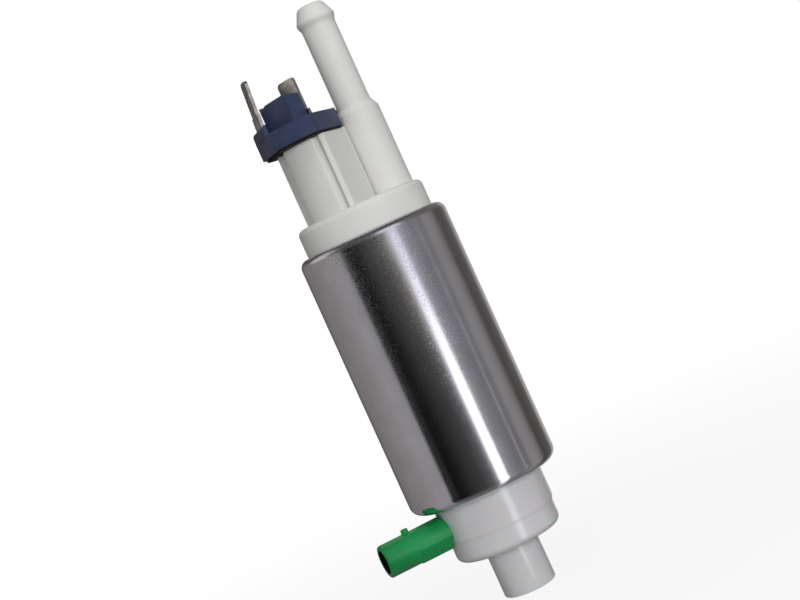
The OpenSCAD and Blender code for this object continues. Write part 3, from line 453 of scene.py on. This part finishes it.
def turn_profile(mesh, profile):
    """Turns a closed profile of (radius, height), in millimetres, about the pump's axis."""
    rings = []
    for radius, height in profile:
        ring = []
        for step in range(LATHE_STEPS):
            turn = 2 * math.pi * step / LATHE_STEPS
            at = Vector((radius * math.cos(turn), radius * math.sin(turn), height)) * MM
            ring.append(mesh.verts.new(at))
        rings.append(ring)
    for low, high in zip(rings, rings[1:] + rings[:1]):
        for step in range(LATHE_STEPS):
            after = (step + 1) % LATHE_STEPS
            mesh.faces.new((low[step], low[after], high[after], high[step]))


def make_piece(name, mesh, made, node):
    """Paints a finished mesh and puts it in the place of a CAD node of the root body."""
    bmesh.ops.recalc_face_normals(mesh, faces=mesh.faces)
    data = bpy.data.meshes.new(name)
    mesh.to_mesh(data)
    mesh.free()
    data.shade_smooth()
    data.set_sharp_from_angle(angle=math.radians(CRISP_DEGREES))
    data.materials.append(made)
    piece = bpy.data.objects.new(name, data)
    bpy.context.scene.collection.objects.link(piece)
    flats = piece.modifiers.new("flats", "WEIGHTED_NORMAL")
    flats.keep_sharp = True
    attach(piece, "root")
    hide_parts(node)
    return piece


can = bmesh.new()
turn_profile(can, (
    bottom_bend(BOTTOM_BEND_R, -90, 0) + top_bend(TOP_BEND_R, 0, 90)
    + [(TOP_LIP_R, SHELL_HALF), (TOP_LIP_R, SHELL_HALF - SHEET)]
    + top_bend(TOP_BEND_R - SHEET, 90, 0) + bottom_bend(BOTTOM_BEND_R - SHEET, 0, -90)
    + [(BOTTOM_LIP_R, SHEET - SHELL_HALF), (BOTTOM_LIP_R, -SHELL_HALF)]))
make_piece("steel_can", can, plated_steel, "shell")

# Outlet end. One moulding of ivory nylon: the collar, the two brush towers with their grooves,
# the outlet column and the barbed tube; the shell's rolled edge holds it.
SKIN_SPREAD = 0.05


def moulded(name, colour, deeper, roughness, skin_height_mm=0.004, cloud_mm=14, skin_mm=0.35,
            **sockets):
    """A moulded plastic: slightly cloudy colour, and the faint skin of the mould."""
    made, nodes, links, shader = principled(name, **sockets)
    cloud = grain(nodes, links, cloud_mm)
    blend_colours(nodes, links, cloud, shader.inputs["Base Color"], deeper, colour)
    skin = grain(nodes, links, skin_mm)
    blend_values(nodes, links, skin, shader.inputs["Roughness"],
                 roughness - SKIN_SPREAD, roughness + SKIN_SPREAD)
    raise_surface(nodes, links, skin, shader, skin_height_mm)
    return made


ivory_nylon = moulded("ivory_nylon", (0.665, 0.66, 0.642), (0.62, 0.615, 0.592), 0.48)
OUTLET_X = 9.4
COLLAR_H, BARB_H, GASKET_T = 6.9, 5.5, 0.5
CAP_EDGE, UPRIGHT_EDGE, BARB_EDGE = 0.35, 0.14, 0.7
PLATE_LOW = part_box("terminal_retainer")[0][2] / MM
COLLAR_HIGH = SHELL_HALF + COLLAR_H
BARB_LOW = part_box("outlet_cap")[1][2] / MM - BARB_H
# The edges inside this radius are the bore's
OUTLET_BORE_CLEAR_R = 3
SLOT_CORNER_X, TOWER_CORNER_Y = -8, 12
# Level edges this close to the collar's top stay sharp
COLLAR_CLEAR = 0.2
# Points closer than this, in metres, are one
SAME_PLACE = 1e-7
# Faces this near to one plane are joined, and edges sharper than this are eased
FLAT_DEGREES, EASED_DEGREES = 0.4, 31
# An edge is upright when this share of its length runs along the pump
UPRIGHT_SHARE = 0.9
EDGE_STEPS = 3


def slab(mesh, outline, low, high, place=Matrix(), holes=()):
    """A flat piece of the given plan, in millimetres, from low to high."""
    loops = [list(outline)] + [list(hole) for hole in holes]
    flat = [[Vector((x, y, 0)) for x, y in loop] for loop in loops]
    sides = []
    for z in (low, high):
        sides.append([[mesh.verts.new(place @ (Vector((x, y, z)) * MM)) for x, y in loop]
                      for loop in loops])
    made = []
    for side in sides:
        every = [vert for loop in side for vert in loop]
        if holes:
            for corners in tessellate_polygon(flat):
                made.append(mesh.faces.new([every[i] for i in corners]))
        else:
            made.append(mesh.faces.new(every))
    for lower, upper in zip(*sides):
        for i, vert in enumerate(lower):
            after = (i + 1) % len(lower)
            made.append(mesh.faces.new((vert, lower[after], upper[after], upper[i])))
    return made


def eased_copy(name, node, made, passes, finish=None):
    """A CAD node's own shape with the chosen edges rounded, as they leave the mould."""
    mesh = bmesh.new()
    mesh.from_mesh(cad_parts[node].data)
    bmesh.ops.remove_doubles(mesh, verts=mesh.verts, dist=SAME_PLACE)
    bmesh.ops.dissolve_limit(
        mesh, angle_limit=math.radians(FLAT_DEGREES), verts=mesh.verts, edges=mesh.edges)
    for radius, wanted in passes:
        chosen = []
        for edge in mesh.edges:
            one, other = (vert.co for vert in edge.verts)
            upright = abs((other - one).normalized().z) > UPRIGHT_SHARE
            if (edge.calc_face_angle(0) > math.radians(EASED_DEGREES)
                    and wanted((one + other) / 2 / MM, upright)):
                chosen.append(edge)
        bmesh.ops.bevel(mesh, geom=chosen, offset=radius * MM, segments=EDGE_STEPS, profile=0.5,
                        affect="EDGES", clamp_overlap=False, loop_slide=True)
    if finish:
        finish(mesh)
    make_piece(name, mesh, made, node)


# The towers' flat sides run on to the outlet column
JOIN_PLAN = [(2.8, 4.7), (4.04, 3.32), (4.1, 1.8), (1.5, 1.8)]
JOIN_SUNK = 0.3


def join_column(mesh):
    """Fills the corner between each tower's flat side and the column."""
    for side_sign in (-1, 1):
        slab(mesh, [(x, side_sign * y) for x, y in JOIN_PLAN],
             COLLAR_HIGH - JOIN_SUNK, PLATE_LOW - GASKET_T)


def barb_edge(at, upright):
    """The edges round the barb, apart from the bore's."""
    return at.z > BARB_LOW and math.hypot(at.x - OUTLET_X, at.y) > OUTLET_BORE_CLEAR_R


def tower_corner(at, upright):
    """The towers' upright corners at the slot and at their widest place."""
    return (upright and SHELL_HALF < at.z < BARB_LOW
            and (at.x < SLOT_CORNER_X or abs(at.y) > TOWER_CORNER_Y))


def cap_edge(at, upright):
    """The level edges above the collar."""
    return not upright and COLLAR_HIGH + COLLAR_CLEAR < at.z < BARB_LOW


eased_copy("outlet_moulding", "outlet_cap", ivory_nylon,
           [(BARB_EDGE, barb_edge), (UPRIGHT_EDGE, tower_corner), (CAP_EDGE, cap_edge)],
           join_column)


# Gasket. A flat layer of black rubber between the towers and the blue retainer, cut from sheet
# and held by the retainer; its black band under the retainer is partly painted shade there.
def paint(node, made):
    """Puts a material on every slot of a CAD node."""
    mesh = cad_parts[node].data
    if not mesh.materials:
        mesh.materials.append(made)
    for number in range(len(mesh.materials)):
        mesh.materials[number] = made


black_rubber = moulded("black_rubber", (0.012, 0.012, 0.013), (0.006, 0.006, 0.007), 0.7,
                       skin_height_mm=0.01, Specular_IOR_Level=0.25)
# The gasket's black is partly its rubber and partly painted shade under the retainer's edge
paint("retainer_gasket", black_rubber)

# Terminal retainer. A blue plastic plate pressed over the towers' pegs, with a raised block and
# a pedestal that hold the two blades, and two hooks at the outlet column.
slate_plastic = moulded("slate_plastic", (0.040, 0.054, 0.112), (0.027, 0.036, 0.078), 0.42,
                        skin_height_mm=0.006, cloud_mm=5, Specular_IOR_Level=0.3)
PLATE_X, PLATE_R, PLATE_FLAT_X, PLATE_H = -1.75, 15.1, -15.6, 4.5
PLATE_HIGH = PLATE_LOW + PLATE_H
CORNER_DEGREES, SIDE_DEGREES = 105, 48
NOSE_R = 7.8
PLATE_STEPS = 24
BLOCK_AT, BLOCK_TURN = Vector((-8.7, -11, PLATE_HIGH)), math.radians(24)
BLOCK_L, BLOCK_W, BLOCK_H, BLOCK_FALL, BLOCK_CLIP = 10.8, 4.6, 7.0, 0.8, 2.4
BLOCK_SUNK = 1.0
HULL_FLAT_DEGREES = 1
RIB_W, RIB_START, RIB_LOW = 1.0, 2.5, 0.3
PEDESTAL_H, PEDESTAL_SUNK, PEDESTAL_EDGE_R, PEDESTAL_EDGE_STEPS = 2.5, 0.5, 1.2, 6
PEDESTAL_NEAR_X = -13.1
PEDESTAL_PLAN = [(PLATE_FLAT_X, -6), (-14.5, -6), (PEDESTAL_NEAR_X, -3.2), (PEDESTAL_NEAR_X, 6),
                 (PLATE_FLAT_X, 6)]
HOOK_Y, HOOK_W, HOOK_L, HOOK_DROP, HOOK_T = 2.6, 1.6, 3.9, 1.5, 0.9
MOULDED_EDGE = 0.4
# Only edges sharper than this are rounded
SHARP_DEGREES, PEDESTAL_SHARP_DEGREES = 30, 50


def soften(mesh, faces, radius, steps=EDGE_STEPS, least=SHARP_DEGREES, clamp=True):
    """Rounds the sharp edges of the given faces."""
    edges = {e for f in faces for e in f.edges
             if len(e.link_faces) == 2 and e.calc_face_angle(0) > math.radians(least)}
    bmesh.ops.bevel(mesh, geom=list(edges), offset=radius * MM, segments=steps, profile=0.5,
                    affect="EDGES", clamp_overlap=clamp)


# The plate is a round disc, cut flat at the far end, with two straight sides to a round nose
corner = (PLATE_X + PLATE_R * math.cos(math.radians(CORNER_DEGREES)),
          -PLATE_R * math.sin(math.radians(CORNER_DEGREES)))
along_side = (math.cos(math.radians(SIDE_DEGREES)), math.sin(math.radians(SIDE_DEGREES)))
# Where the straight side meets the nose
from_outlet = (corner[0] - OUTLET_X, corner[1])
half = from_outlet[0] * along_side[0] + from_outlet[1] * along_side[1]
rest = from_outlet[0] ** 2 + from_outlet[1] ** 2 - NOSE_R ** 2
reach = -half - math.sqrt(half * half - rest)
nose = (corner[0] + reach * along_side[0], corner[1] + reach * along_side[1])
nose_turn = math.degrees(math.atan2(-nose[1], OUTLET_X - nose[0]))
flat_turn = math.degrees(math.acos((PLATE_FLAT_X - PLATE_X) / PLATE_R))
plate_plan = (
    [corner]
    + arc_points(OUTLET_X, 0, NOSE_R, 180 + nose_turn, 180 - nose_turn, PLATE_STEPS)
    + arc_points(PLATE_X, 0, PLATE_R, CORNER_DEGREES, flat_turn, PLATE_STEPS)
    + arc_points(PLATE_X, 0, PLATE_R, -flat_turn, -CORNER_DEGREES, PLATE_STEPS)[:-1])
retainer = bmesh.new()
soften(retainer, slab(retainer, plate_plan, PLATE_LOW, PLATE_HIGH), MOULDED_EDGE, clamp=False)

# The block's top falls across its width, and its far top corner is clipped
block_place = Matrix.Translation(BLOCK_AT * MM) @ Matrix.Rotation(BLOCK_TURN, 4, "Z")
block_points = [(across, length, -BLOCK_SUNK)
                for across in (0, BLOCK_W) for length in (0, BLOCK_L)]
block_points += [
    (0, 0, BLOCK_H), (BLOCK_W, 0, BLOCK_H - BLOCK_FALL),
    (0, BLOCK_L - BLOCK_CLIP, BLOCK_H),
    (BLOCK_W, BLOCK_L - BLOCK_CLIP + 2 * BLOCK_FALL, BLOCK_H - BLOCK_FALL),
    (0, BLOCK_L, BLOCK_H - BLOCK_CLIP / 2), (BLOCK_W, BLOCK_L, BLOCK_H - BLOCK_CLIP / 2)]
block_verts = [retainer.verts.new(block_place @ (Vector(p) * MM)) for p in block_points]
hull = bmesh.ops.convex_hull(retainer, input=block_verts)
block_faces = [f for f in hull["geom"] if isinstance(f, bmesh.types.BMFace)]
bmesh.ops.dissolve_limit(retainer, angle_limit=math.radians(HULL_FLAT_DEGREES), verts=block_verts,
                         edges=list({e for f in block_faces for e in f.edges}))
soften(retainer, {f for v in block_verts if v.is_valid for f in v.link_faces}, MOULDED_EDGE)

# The rib's plan is drawn flat; this stands it along the block's side
rib_place = block_place @ Matrix.Translation((-RIB_W * MM, 0, 0)) @ Matrix(
    ((0, 0, 1, 0), (1, 0, 0, 0), (0, 1, 0, 0), (0, 0, 0, 1)))
rib_plan = [(RIB_START, -BLOCK_SUNK), (BLOCK_L, -BLOCK_SUNK), (BLOCK_L, PEDESTAL_H),
            (RIB_START, RIB_LOW)]
soften(retainer, slab(retainer, rib_plan, 0, RIB_W + MOULDED_EDGE, rib_place), MOULDED_EDGE / 2)

pedestal = slab(retainer, PEDESTAL_PLAN, PLATE_HIGH - PEDESTAL_SUNK, PLATE_HIGH + PEDESTAL_H)
outer_edge = {e for f in pedestal for e in f.edges if all(
    abs(v.co.x - PLATE_FLAT_X * MM) < SAME_PLACE and v.co.z > PLATE_HIGH * MM for v in e.verts)}
bmesh.ops.bevel(retainer, geom=list(outer_edge), offset=PEDESTAL_EDGE_R * MM,
                segments=PEDESTAL_EDGE_STEPS, profile=0.5, affect="EDGES")
over_plate = PLATE_HIGH * MM - SAME_PLACE
at_flat_end = PLATE_FLAT_X * MM + SAME_PLACE
pedestal_faces = {f for f in retainer.faces
                  if all(v.co.z > over_plate or v.co.x < at_flat_end for v in f.verts)
                  and f.calc_center_median().x < PEDESTAL_NEAR_X * MM + SAME_PLACE}
soften(retainer, pedestal_faces, MOULDED_EDGE / 2, least=PEDESTAL_SHARP_DEGREES)
for side_sign in (-1, 1):
    low_y, high_y = side_sign * HOOK_Y - HOOK_W / 2, side_sign * HOOK_Y + HOOK_W / 2
    hook_plan = [(0, low_y), (HOOK_L, low_y), (HOOK_L, high_y), (0, high_y)]
    hook_low = PLATE_HIGH - HOOK_DROP
    soften(retainer, slab(retainer, hook_plan, hook_low, hook_low + HOOK_T), MOULDED_EDGE / 2)
make_piece("retainer_moulding", retainer, slate_plastic, "terminal_retainer")

# Terminals. Two blades stamped from brass sheet and tinned, pressed into the retainer; each has
# a foot at the retainer's underside for a brush's spring and lead.
TIN, STAINED_TIN, STAIN_MM = (0.74, 0.73, 0.70), (0.34, 0.30, 0.25), 2.6
RUBBED, UNRUBBED = 0.24, 0.36
RUB_MM, RUB_HEIGHT_MM, RUB_STRETCH = 0.5, 0.0012, (1, 1, 0.25)
tinned_brass, nodes, links, shader = principled("tinned_brass", Metallic=1.0)
stain = grain(nodes, links, STAIN_MM, detail=4)
blend_colours(nodes, links, stain, shader.inputs["Base Color"], STAINED_TIN, TIN)
rub = grain(nodes, links, RUB_MM, stretch=RUB_STRETCH)
blend_values(nodes, links, rub, shader.inputs["Roughness"], RUBBED, UNRUBBED)
raise_surface(nodes, links, rub, shader, RUB_HEIGHT_MM)
BLADE_T, BLADE_ROUND, BLADE_ROUND_STEPS = 0.8, 1.1, 6
BLADE_SUNK = BLADE_T / 4
STAMPED_EDGE, STAMPED_STEPS = 0.14, 2
POSITIVE_W, POSITIVE_RISE, POSITIVE_ALONG = 6.3, 10.2, 3.6
NEGATIVE_X, NEGATIVE_Y = -14.2, 0.8
NEGATIVE_W, NEGATIVE_RISE, NEGATIVE_LEAN = 4.8, 12.0, math.radians(4)
SHOULDERS_W, POSITIVE_SHOULDER, NEGATIVE_SHOULDER = 1.6, 1.8, 3.2
HOLE_R, HOLE_DROP, HOLE_ACROSS, HOLE_CORNERS = 0.85, 4.3, 0.4, 24
FOOT_T, FOOT_W, FOOT_R = 0.8, 6.0, 7.5
POSITIVE_TURN, NEGATIVE_TURN = math.radians(-135), math.radians(135)
STRAP_W, STRAP_Y = 2.6, 2.2
FIT = 0.05
TAIL_T, TAIL_FROM, TAIL_DROP = 0.5, 0.4, 0.15


def blade_plan(width, top, shoulder, low):
    """A blade seen flat: two shoulders at its foot and a rounded top."""
    half = width / 2
    foot = half + SHOULDERS_W / 2
    round_x, round_y = half - BLADE_ROUND, top - BLADE_ROUND
    return ([(-foot, low), (foot, low), (foot, shoulder), (half, shoulder)]
            + arc_points(round_x, round_y, BLADE_ROUND, 0, 90, BLADE_ROUND_STEPS)
            + arc_points(-round_x, round_y, BLADE_ROUND, 90, 180, BLADE_ROUND_STEPS)
            + [(-half, shoulder), (-foot, shoulder)])


def box_plan(low_x, low_y, high_x, high_y):
    """A rectangle's corners."""
    return [(low_x, low_y), (high_x, low_y), (high_x, high_y), (low_x, high_y)]


def foot_plan(turn):
    """The part of a terminal that lies on its brush's spring."""
    near, far = FOOT_R - FOOT_W / 2, FOOT_R + FOOT_W / 2
    return [(x * math.cos(turn) - y * math.sin(turn), x * math.sin(turn) + y * math.cos(turn))
            for x, y in box_plan(near, -FOOT_W / 2, far, FOOT_W / 2)]


def stamped(mesh, outline, low, high, place=Matrix(), holes=()):
    """A flat piece of a terminal, its edges rounded by the press."""
    soften(mesh, slab(mesh, outline, low, high, place, holes), STAMPED_EDGE, STAMPED_STEPS)


# Plans are drawn flat; this stands one up, its width along Y and its thickness about X
stand_up = Matrix.Rotation(math.pi / 2, 4, "Z") @ Matrix(
    ((1, 0, 0, 0), (0, 0, -1, 0), (0, 1, 0, 0), (0, 0, 0, 1)))

positive = bmesh.new()
blade_at = Vector((BLOCK_W + BLADE_T / 2 + FIT, POSITIVE_ALONG, 0)) * MM
stamped(positive, blade_plan(POSITIVE_W, POSITIVE_RISE, POSITIVE_SHOULDER, -PLATE_H),
        -BLADE_T / 2, BLADE_T / 2, block_place @ Matrix.Translation(blade_at) @ stand_up)
slab(positive, foot_plan(POSITIVE_TURN), PLATE_LOW, PLATE_LOW + FOOT_T)
# A strip runs beside the block to a tail that stands behind it
strip_x, tail_y = BLOCK_W + FIT, BLOCK_L + FIT
stamped(positive, box_plan(strip_x, POSITIVE_ALONG, strip_x + BLADE_T, tail_y + TAIL_T),
        FIT, POSITIVE_SHOULDER, block_place)
stamped(positive, box_plan(TAIL_FROM, tail_y, strip_x + BLADE_T, tail_y + TAIL_T),
        FIT, BLOCK_H - TAIL_DROP, block_place)
make_piece("positive_blade", positive, tinned_brass, "positive_terminal")

negative = bmesh.new()
root_z = PLATE_HIGH + PEDESTAL_H
root_place = Matrix.Translation(Vector((NEGATIVE_X, NEGATIVE_Y, root_z)) * MM)
hole = arc_points(HOLE_ACROSS, NEGATIVE_RISE - HOLE_DROP, HOLE_R, 0, 360, HOLE_CORNERS)[:-1]
stamped(negative, blade_plan(NEGATIVE_W, NEGATIVE_RISE, NEGATIVE_SHOULDER, -BLADE_SUNK),
        -BLADE_T / 2, BLADE_T / 2,
        root_place @ Matrix.Rotation(NEGATIVE_LEAN, 4, "Y") @ stand_up, holes=[hole])
root_half = (NEGATIVE_W + SHOULDERS_W) / 2
stamped(negative, box_plan(-BLADE_T / 2, -root_half, BLADE_T / 2, root_half),
        PLATE_LOW - root_z, 0, root_place)
slab(negative, foot_plan(NEGATIVE_TURN), PLATE_LOW, PLATE_LOW + FOOT_T)
# A flat strap joins the blade's root to its foot
strap_start = Vector((NEGATIVE_X, STRAP_Y))
strap_end = Vector((math.cos(NEGATIVE_TURN), math.sin(NEGATIVE_TURN))) * FOOT_R
strap_run = strap_end - strap_start
strap_side = Vector((-strap_run.y, strap_run.x)).normalized() * STRAP_W / 2
slab(negative, [tuple(p) for p in (
    strap_start - strap_side, strap_end - strap_side, strap_end + strap_side,
    strap_start + strap_side)], PLATE_LOW, PLATE_LOW + FOOT_T)
make_piece("negative_blade", negative, tinned_brass, "negative_terminal")

# Inlet housing. The milky acetal end, held by the shell's lower roll: it carries the pump stage
# inside, the inlet tube below and the jet nozzle at its side.
milky_acetal = moulded(
    "milky_acetal", (0.65, 0.64, 0.66), (0.60, 0.59, 0.61), 0.12, skin_height_mm=0.002,
    Subsurface_Weight=0.5, Subsurface_Scale=4 * MM, Specular_IOR_Level=1.0)
HOUSING_EDGE, HOUSING_HIDDEN, PORT_HALF, PORT_DROP = 0.4, 1, 5, 11


def housing_edge(at, upright):
    """The edges that show below the shell, apart from those round the nozzle's port."""
    drop = -SHELL_HALF - at.z
    at_port = at.x < 0 and abs(at.y) < PORT_HALF and drop < PORT_DROP
    return drop > HOUSING_HIDDEN and not at_port


eased_copy("inlet_moulding", "inlet_housing", milky_acetal, [(HOUSING_EDGE, housing_edge)])

# Jet nozzle. A green plastic spigot pushed into the housing's side, with a key below and a peg
# on top; its bore is painted darker as shade.
green_plastic = moulded("green_plastic", (0.010, 0.255, 0.068), (0.006, 0.19, 0.05), 0.32,
                        Specular_IOR_Level=0.4)
NOZZLE_EDGE, NOZZLE_SHOWS_X, NOZZLE_DROP = 0.18, -14.6, 5.7
NOZZLE_R, NOZZLE_RIM_R = 4.125, 4.4
NOZZLE_Z = -SHELL_HALF - NOZZLE_DROP
# The painted shade is full at the bore's wall and gone at its mouth's edge
BORE_R, MOUTH_R, BORE_SHADE = 3.0, 3.3, (0.05, 0.05, 0.05, 1)
nodes, links = green_plastic.node_tree.nodes, green_plastic.node_tree.links
from_axis = nodes.new("ShaderNodeVectorMath")
from_axis.operation = "MULTIPLY_ADD"
from_axis.inputs[1].default_value = (0, 1, 1)
from_axis.inputs[2].default_value = (0, 0, -NOZZLE_Z * MM)
links.new(own_place(nodes), from_axis.inputs[0])
radius = length_of(nodes, links, from_axis.outputs[0])
# Painted shade: the bore's colour is darkened towards its wall
bore_shade = nodes.new("ShaderNodeMix")
bore_shade.data_type, bore_shade.blend_type = "RGBA", "MULTIPLY"
links.new(ranged(nodes, links, radius, MOUTH_R * MM, BORE_R * MM), bore_shade.inputs[0])
base_colour = nodes["Principled BSDF"].inputs["Base Color"]
links.new(base_colour.links[0].from_socket, bore_shade.inputs[MIX_ONE])
bore_shade.inputs[MIX_OTHER].default_value = BORE_SHADE
links.new(bore_shade.outputs[MIX_RESULT], base_colour)


def nozzle_edge(at, upright):
    """The edges of the nozzle that show outside the housing."""
    return at.x < NOZZLE_SHOWS_X


def blend_rim(mesh):
    """Brings the nozzle's narrow rim down to the round end, as the moulding shows none."""
    for vert in mesh.verts:
        out = math.hypot(vert.co.y, vert.co.z - NOZZLE_Z * MM) / MM
        if vert.co.x < NOZZLE_SHOWS_X * MM and NOZZLE_R < out < NOZZLE_RIM_R:
            vert.co.y *= NOZZLE_R / out
            vert.co.z = NOZZLE_Z * MM + (vert.co.z - NOZZLE_Z * MM) * NOZZLE_R / out


eased_copy("nozzle_moulding", "jet_nozzle", green_plastic, [(NOZZLE_EDGE, nozzle_edge)],
           blend_rim)

# Seals. O-rings of black rubber, pressed in the grooves of the two plastic ends and of the
# nozzle's spigot.
for node in ("outlet_cap_seal", "inlet_seal", "nozzle_seal"):
    paint(node, black_rubber)

# Check valve. A turned brass seat pressed into the outlet column, and a plastic poppet that a
# spring of steel wire holds on it.
MARKS_SPREAD = 0.07


def metal(name, colour, darker, roughness, mark_mm=0.4, height_mm=0.004, stretch=(1, 1, 1)):
    """A bare metal with the fine marks of how it was made."""
    made, nodes, links, shader = principled(name, Metallic=1.0)
    marks = grain(nodes, links, mark_mm, detail=4, stretch=stretch)
    blend_colours(nodes, links, marks, shader.inputs["Base Color"], darker, colour)
    blend_values(nodes, links, marks, shader.inputs["Roughness"],
                 roughness - MARKS_SPREAD, roughness + MARKS_SPREAD)
    raise_surface(nodes, links, marks, shader, height_mm)
    return made


def pushed_piece(name, node, made):
    """A spring or lead as a piece of its own mesh, in the place of its CAD node."""
    mesh = bmesh.new()
    mesh.from_mesh(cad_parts[node].data)
    piece = make_piece(name, mesh, made, node)
    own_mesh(piece)


turned_brass = metal(
    "turned_brass", (0.78, 0.60, 0.28), (0.62, 0.45, 0.19), 0.28, stretch=(1, 1, 8))
paint("check_valve_seat", turned_brass)
dark_acetal = moulded("dark_acetal", (0.10, 0.10, 0.11), (0.07, 0.07, 0.08), 0.4)
paint("check_valve_poppet", dark_acetal)
spring_wire = metal("spring_wire", (0.50, 0.50, 0.51), (0.34, 0.34, 0.36), 0.3, mark_mm=0.25)
pushed_piece("check_valve_coil", "check_valve_spring", spring_wire)

# Bearings. Two bushes of sintered bronze, dark with oil, hold the rotor's shaft; one is pressed
# into the outlet end and one into the pump stage's upper plate.
oiled_bronze = metal("oiled_bronze", (0.55, 0.36, 0.17), (0.34, 0.21, 0.10), 0.42,
                     mark_mm=0.3, height_mm=0.012)
for node in ("upper_bearing", "lower_bearing"):
    paint(node, oiled_bronze)

# Brushes. Two blocks of pressed graphite slide in the towers, pushed down on the commutator by
# springs; a copper lead runs through each spring to its terminal.
graphite = moulded("graphite", (0.055, 0.055, 0.06), (0.03, 0.03, 0.033), 0.5,
                   skin_height_mm=0.01, cloud_mm=3, skin_mm=0.2)
drawn_copper = metal("drawn_copper", (0.80, 0.40, 0.24), (0.60, 0.27, 0.15), 0.3, mark_mm=0.3)
for brush in ("positive", "negative"):
    paint("brush_" + brush, graphite)
    pushed_piece("brush_coil_" + brush, "brush_spring_" + brush, spring_wire)
    pushed_piece("brush_wire_" + brush, "brush_lead_" + brush, drawn_copper)

# Motor's field. A rolled steel ring in the shell, four ground ferrite magnets inside it,
# and the spring clips that spread them apart and hold them.
plain_steel = metal("plain_steel", (0.42, 0.42, 0.43), (0.30, 0.30, 0.31), 0.4,
                    mark_mm=0.5, height_mm=0.006)
paint("flux_ring", plain_steel)
ferrite = moulded("ferrite", (0.075, 0.075, 0.08), (0.05, 0.05, 0.055), 0.46,
                  skin_height_mm=0.012, cloud_mm=5, skin_mm=0.25)
for number in range(1, 5):
    paint("magnet_%d" % number, ferrite)
paint("magnet_clips", spring_wire)

# Rotor. A ground shaft carries the stack of steel sheets, the windings of enamelled wire, white
# nylon end plates, and copper segments on the commutator's brown hub; a nylon coupling drives
# the pump stage, and a dark acetal washer lies at each end.
LINES_WAVER, LINES_HEIGHT_MM = 0.6, 0.02
WORN_MM, WORN_SPREAD = 0.6, 0.06
# At a scale of 1, Blender's wave texture has a line every pi / 10 metres
WAVE_PITCH = math.pi / 10


def layered(name, colour, darker, pitch_mm, roughness, metallic):
    """Stacked sheets or turns of wire: fine lines of one pitch along the shaft."""
    made, nodes, links, shader = principled(name, Metallic=metallic)
    lines = nodes.new("ShaderNodeTexWave")
    lines.bands_direction = "Z"
    lines.inputs["Scale"].default_value = WAVE_PITCH / (pitch_mm * MM)
    lines.inputs["Distortion"].default_value = LINES_WAVER
    links.new(own_place(nodes), lines.inputs["Vector"])
    blend_colours(nodes, links, lines.outputs["Fac"], shader.inputs["Base Color"], darker, colour)
    worn = grain(nodes, links, WORN_MM)
    blend_values(nodes, links, worn, shader.inputs["Roughness"],
                 roughness - WORN_SPREAD, roughness + WORN_SPREAD)
    raise_surface(nodes, links, lines.outputs["Fac"], shader, LINES_HEIGHT_MM)
    return made


ground_steel = metal("ground_steel", (0.66, 0.66, 0.68), (0.52, 0.52, 0.54), 0.2,
                     mark_mm=0.3, height_mm=0.003, stretch=(1, 1, 10))
paint("rotor_shaft", ground_steel)
steel_sheets = layered("steel_sheets", (0.44, 0.44, 0.46), (0.20, 0.20, 0.21),
                       pitch_mm=0.5, roughness=0.38, metallic=1.0)
paint("armature_core", steel_sheets)
enamelled_wire = layered("enamelled_wire", (0.55, 0.16, 0.05), (0.25, 0.06, 0.02),
                         pitch_mm=0.35, roughness=0.3, metallic=0.4)
paint("armature_windings", enamelled_wire)
white_nylon = moulded("white_nylon", (0.74, 0.73, 0.68), (0.68, 0.67, 0.62), 0.42)
for node in ("armature_insulator_upper", "armature_insulator_lower", "drive_coupling"):
    paint(node, white_nylon)
brown_moulding = moulded("brown_moulding", (0.13, 0.06, 0.03), (0.08, 0.04, 0.02), 0.45,
                         skin_height_mm=0.008)
paint("commutator_hub", brown_moulding)
paint("commutator_segments", drawn_copper)
for node in ("thrust_washer_upper", "thrust_washer_lower"):
    paint(node, dark_acetal)

# Pump stage. Sintered steel rotors turn in their ring between two machined aluminium plates,
# held by four screws; a steel ball and a spring are its relief valve.
sintered_steel = metal("sintered_steel", (0.34, 0.34, 0.35), (0.22, 0.22, 0.23), 0.45,
                       mark_mm=0.25, height_mm=0.012)
for node in ("inner_rotor", "outer_rotor", "cam_ring"):
    paint(node, sintered_steel)
machined_aluminium = metal("machined_aluminium", (0.74, 0.75, 0.76), (0.60, 0.61, 0.62), 0.34,
                           mark_mm=0.5, height_mm=0.006)
for node in ("outlet_port_plate", "inlet_port_plate"):
    paint(node, machined_aluminium)
for node in ("pump_screws", "relief_ball"):
    paint(node, ground_steel)
pushed_piece("relief_coil", "relief_spring", spring_wire)
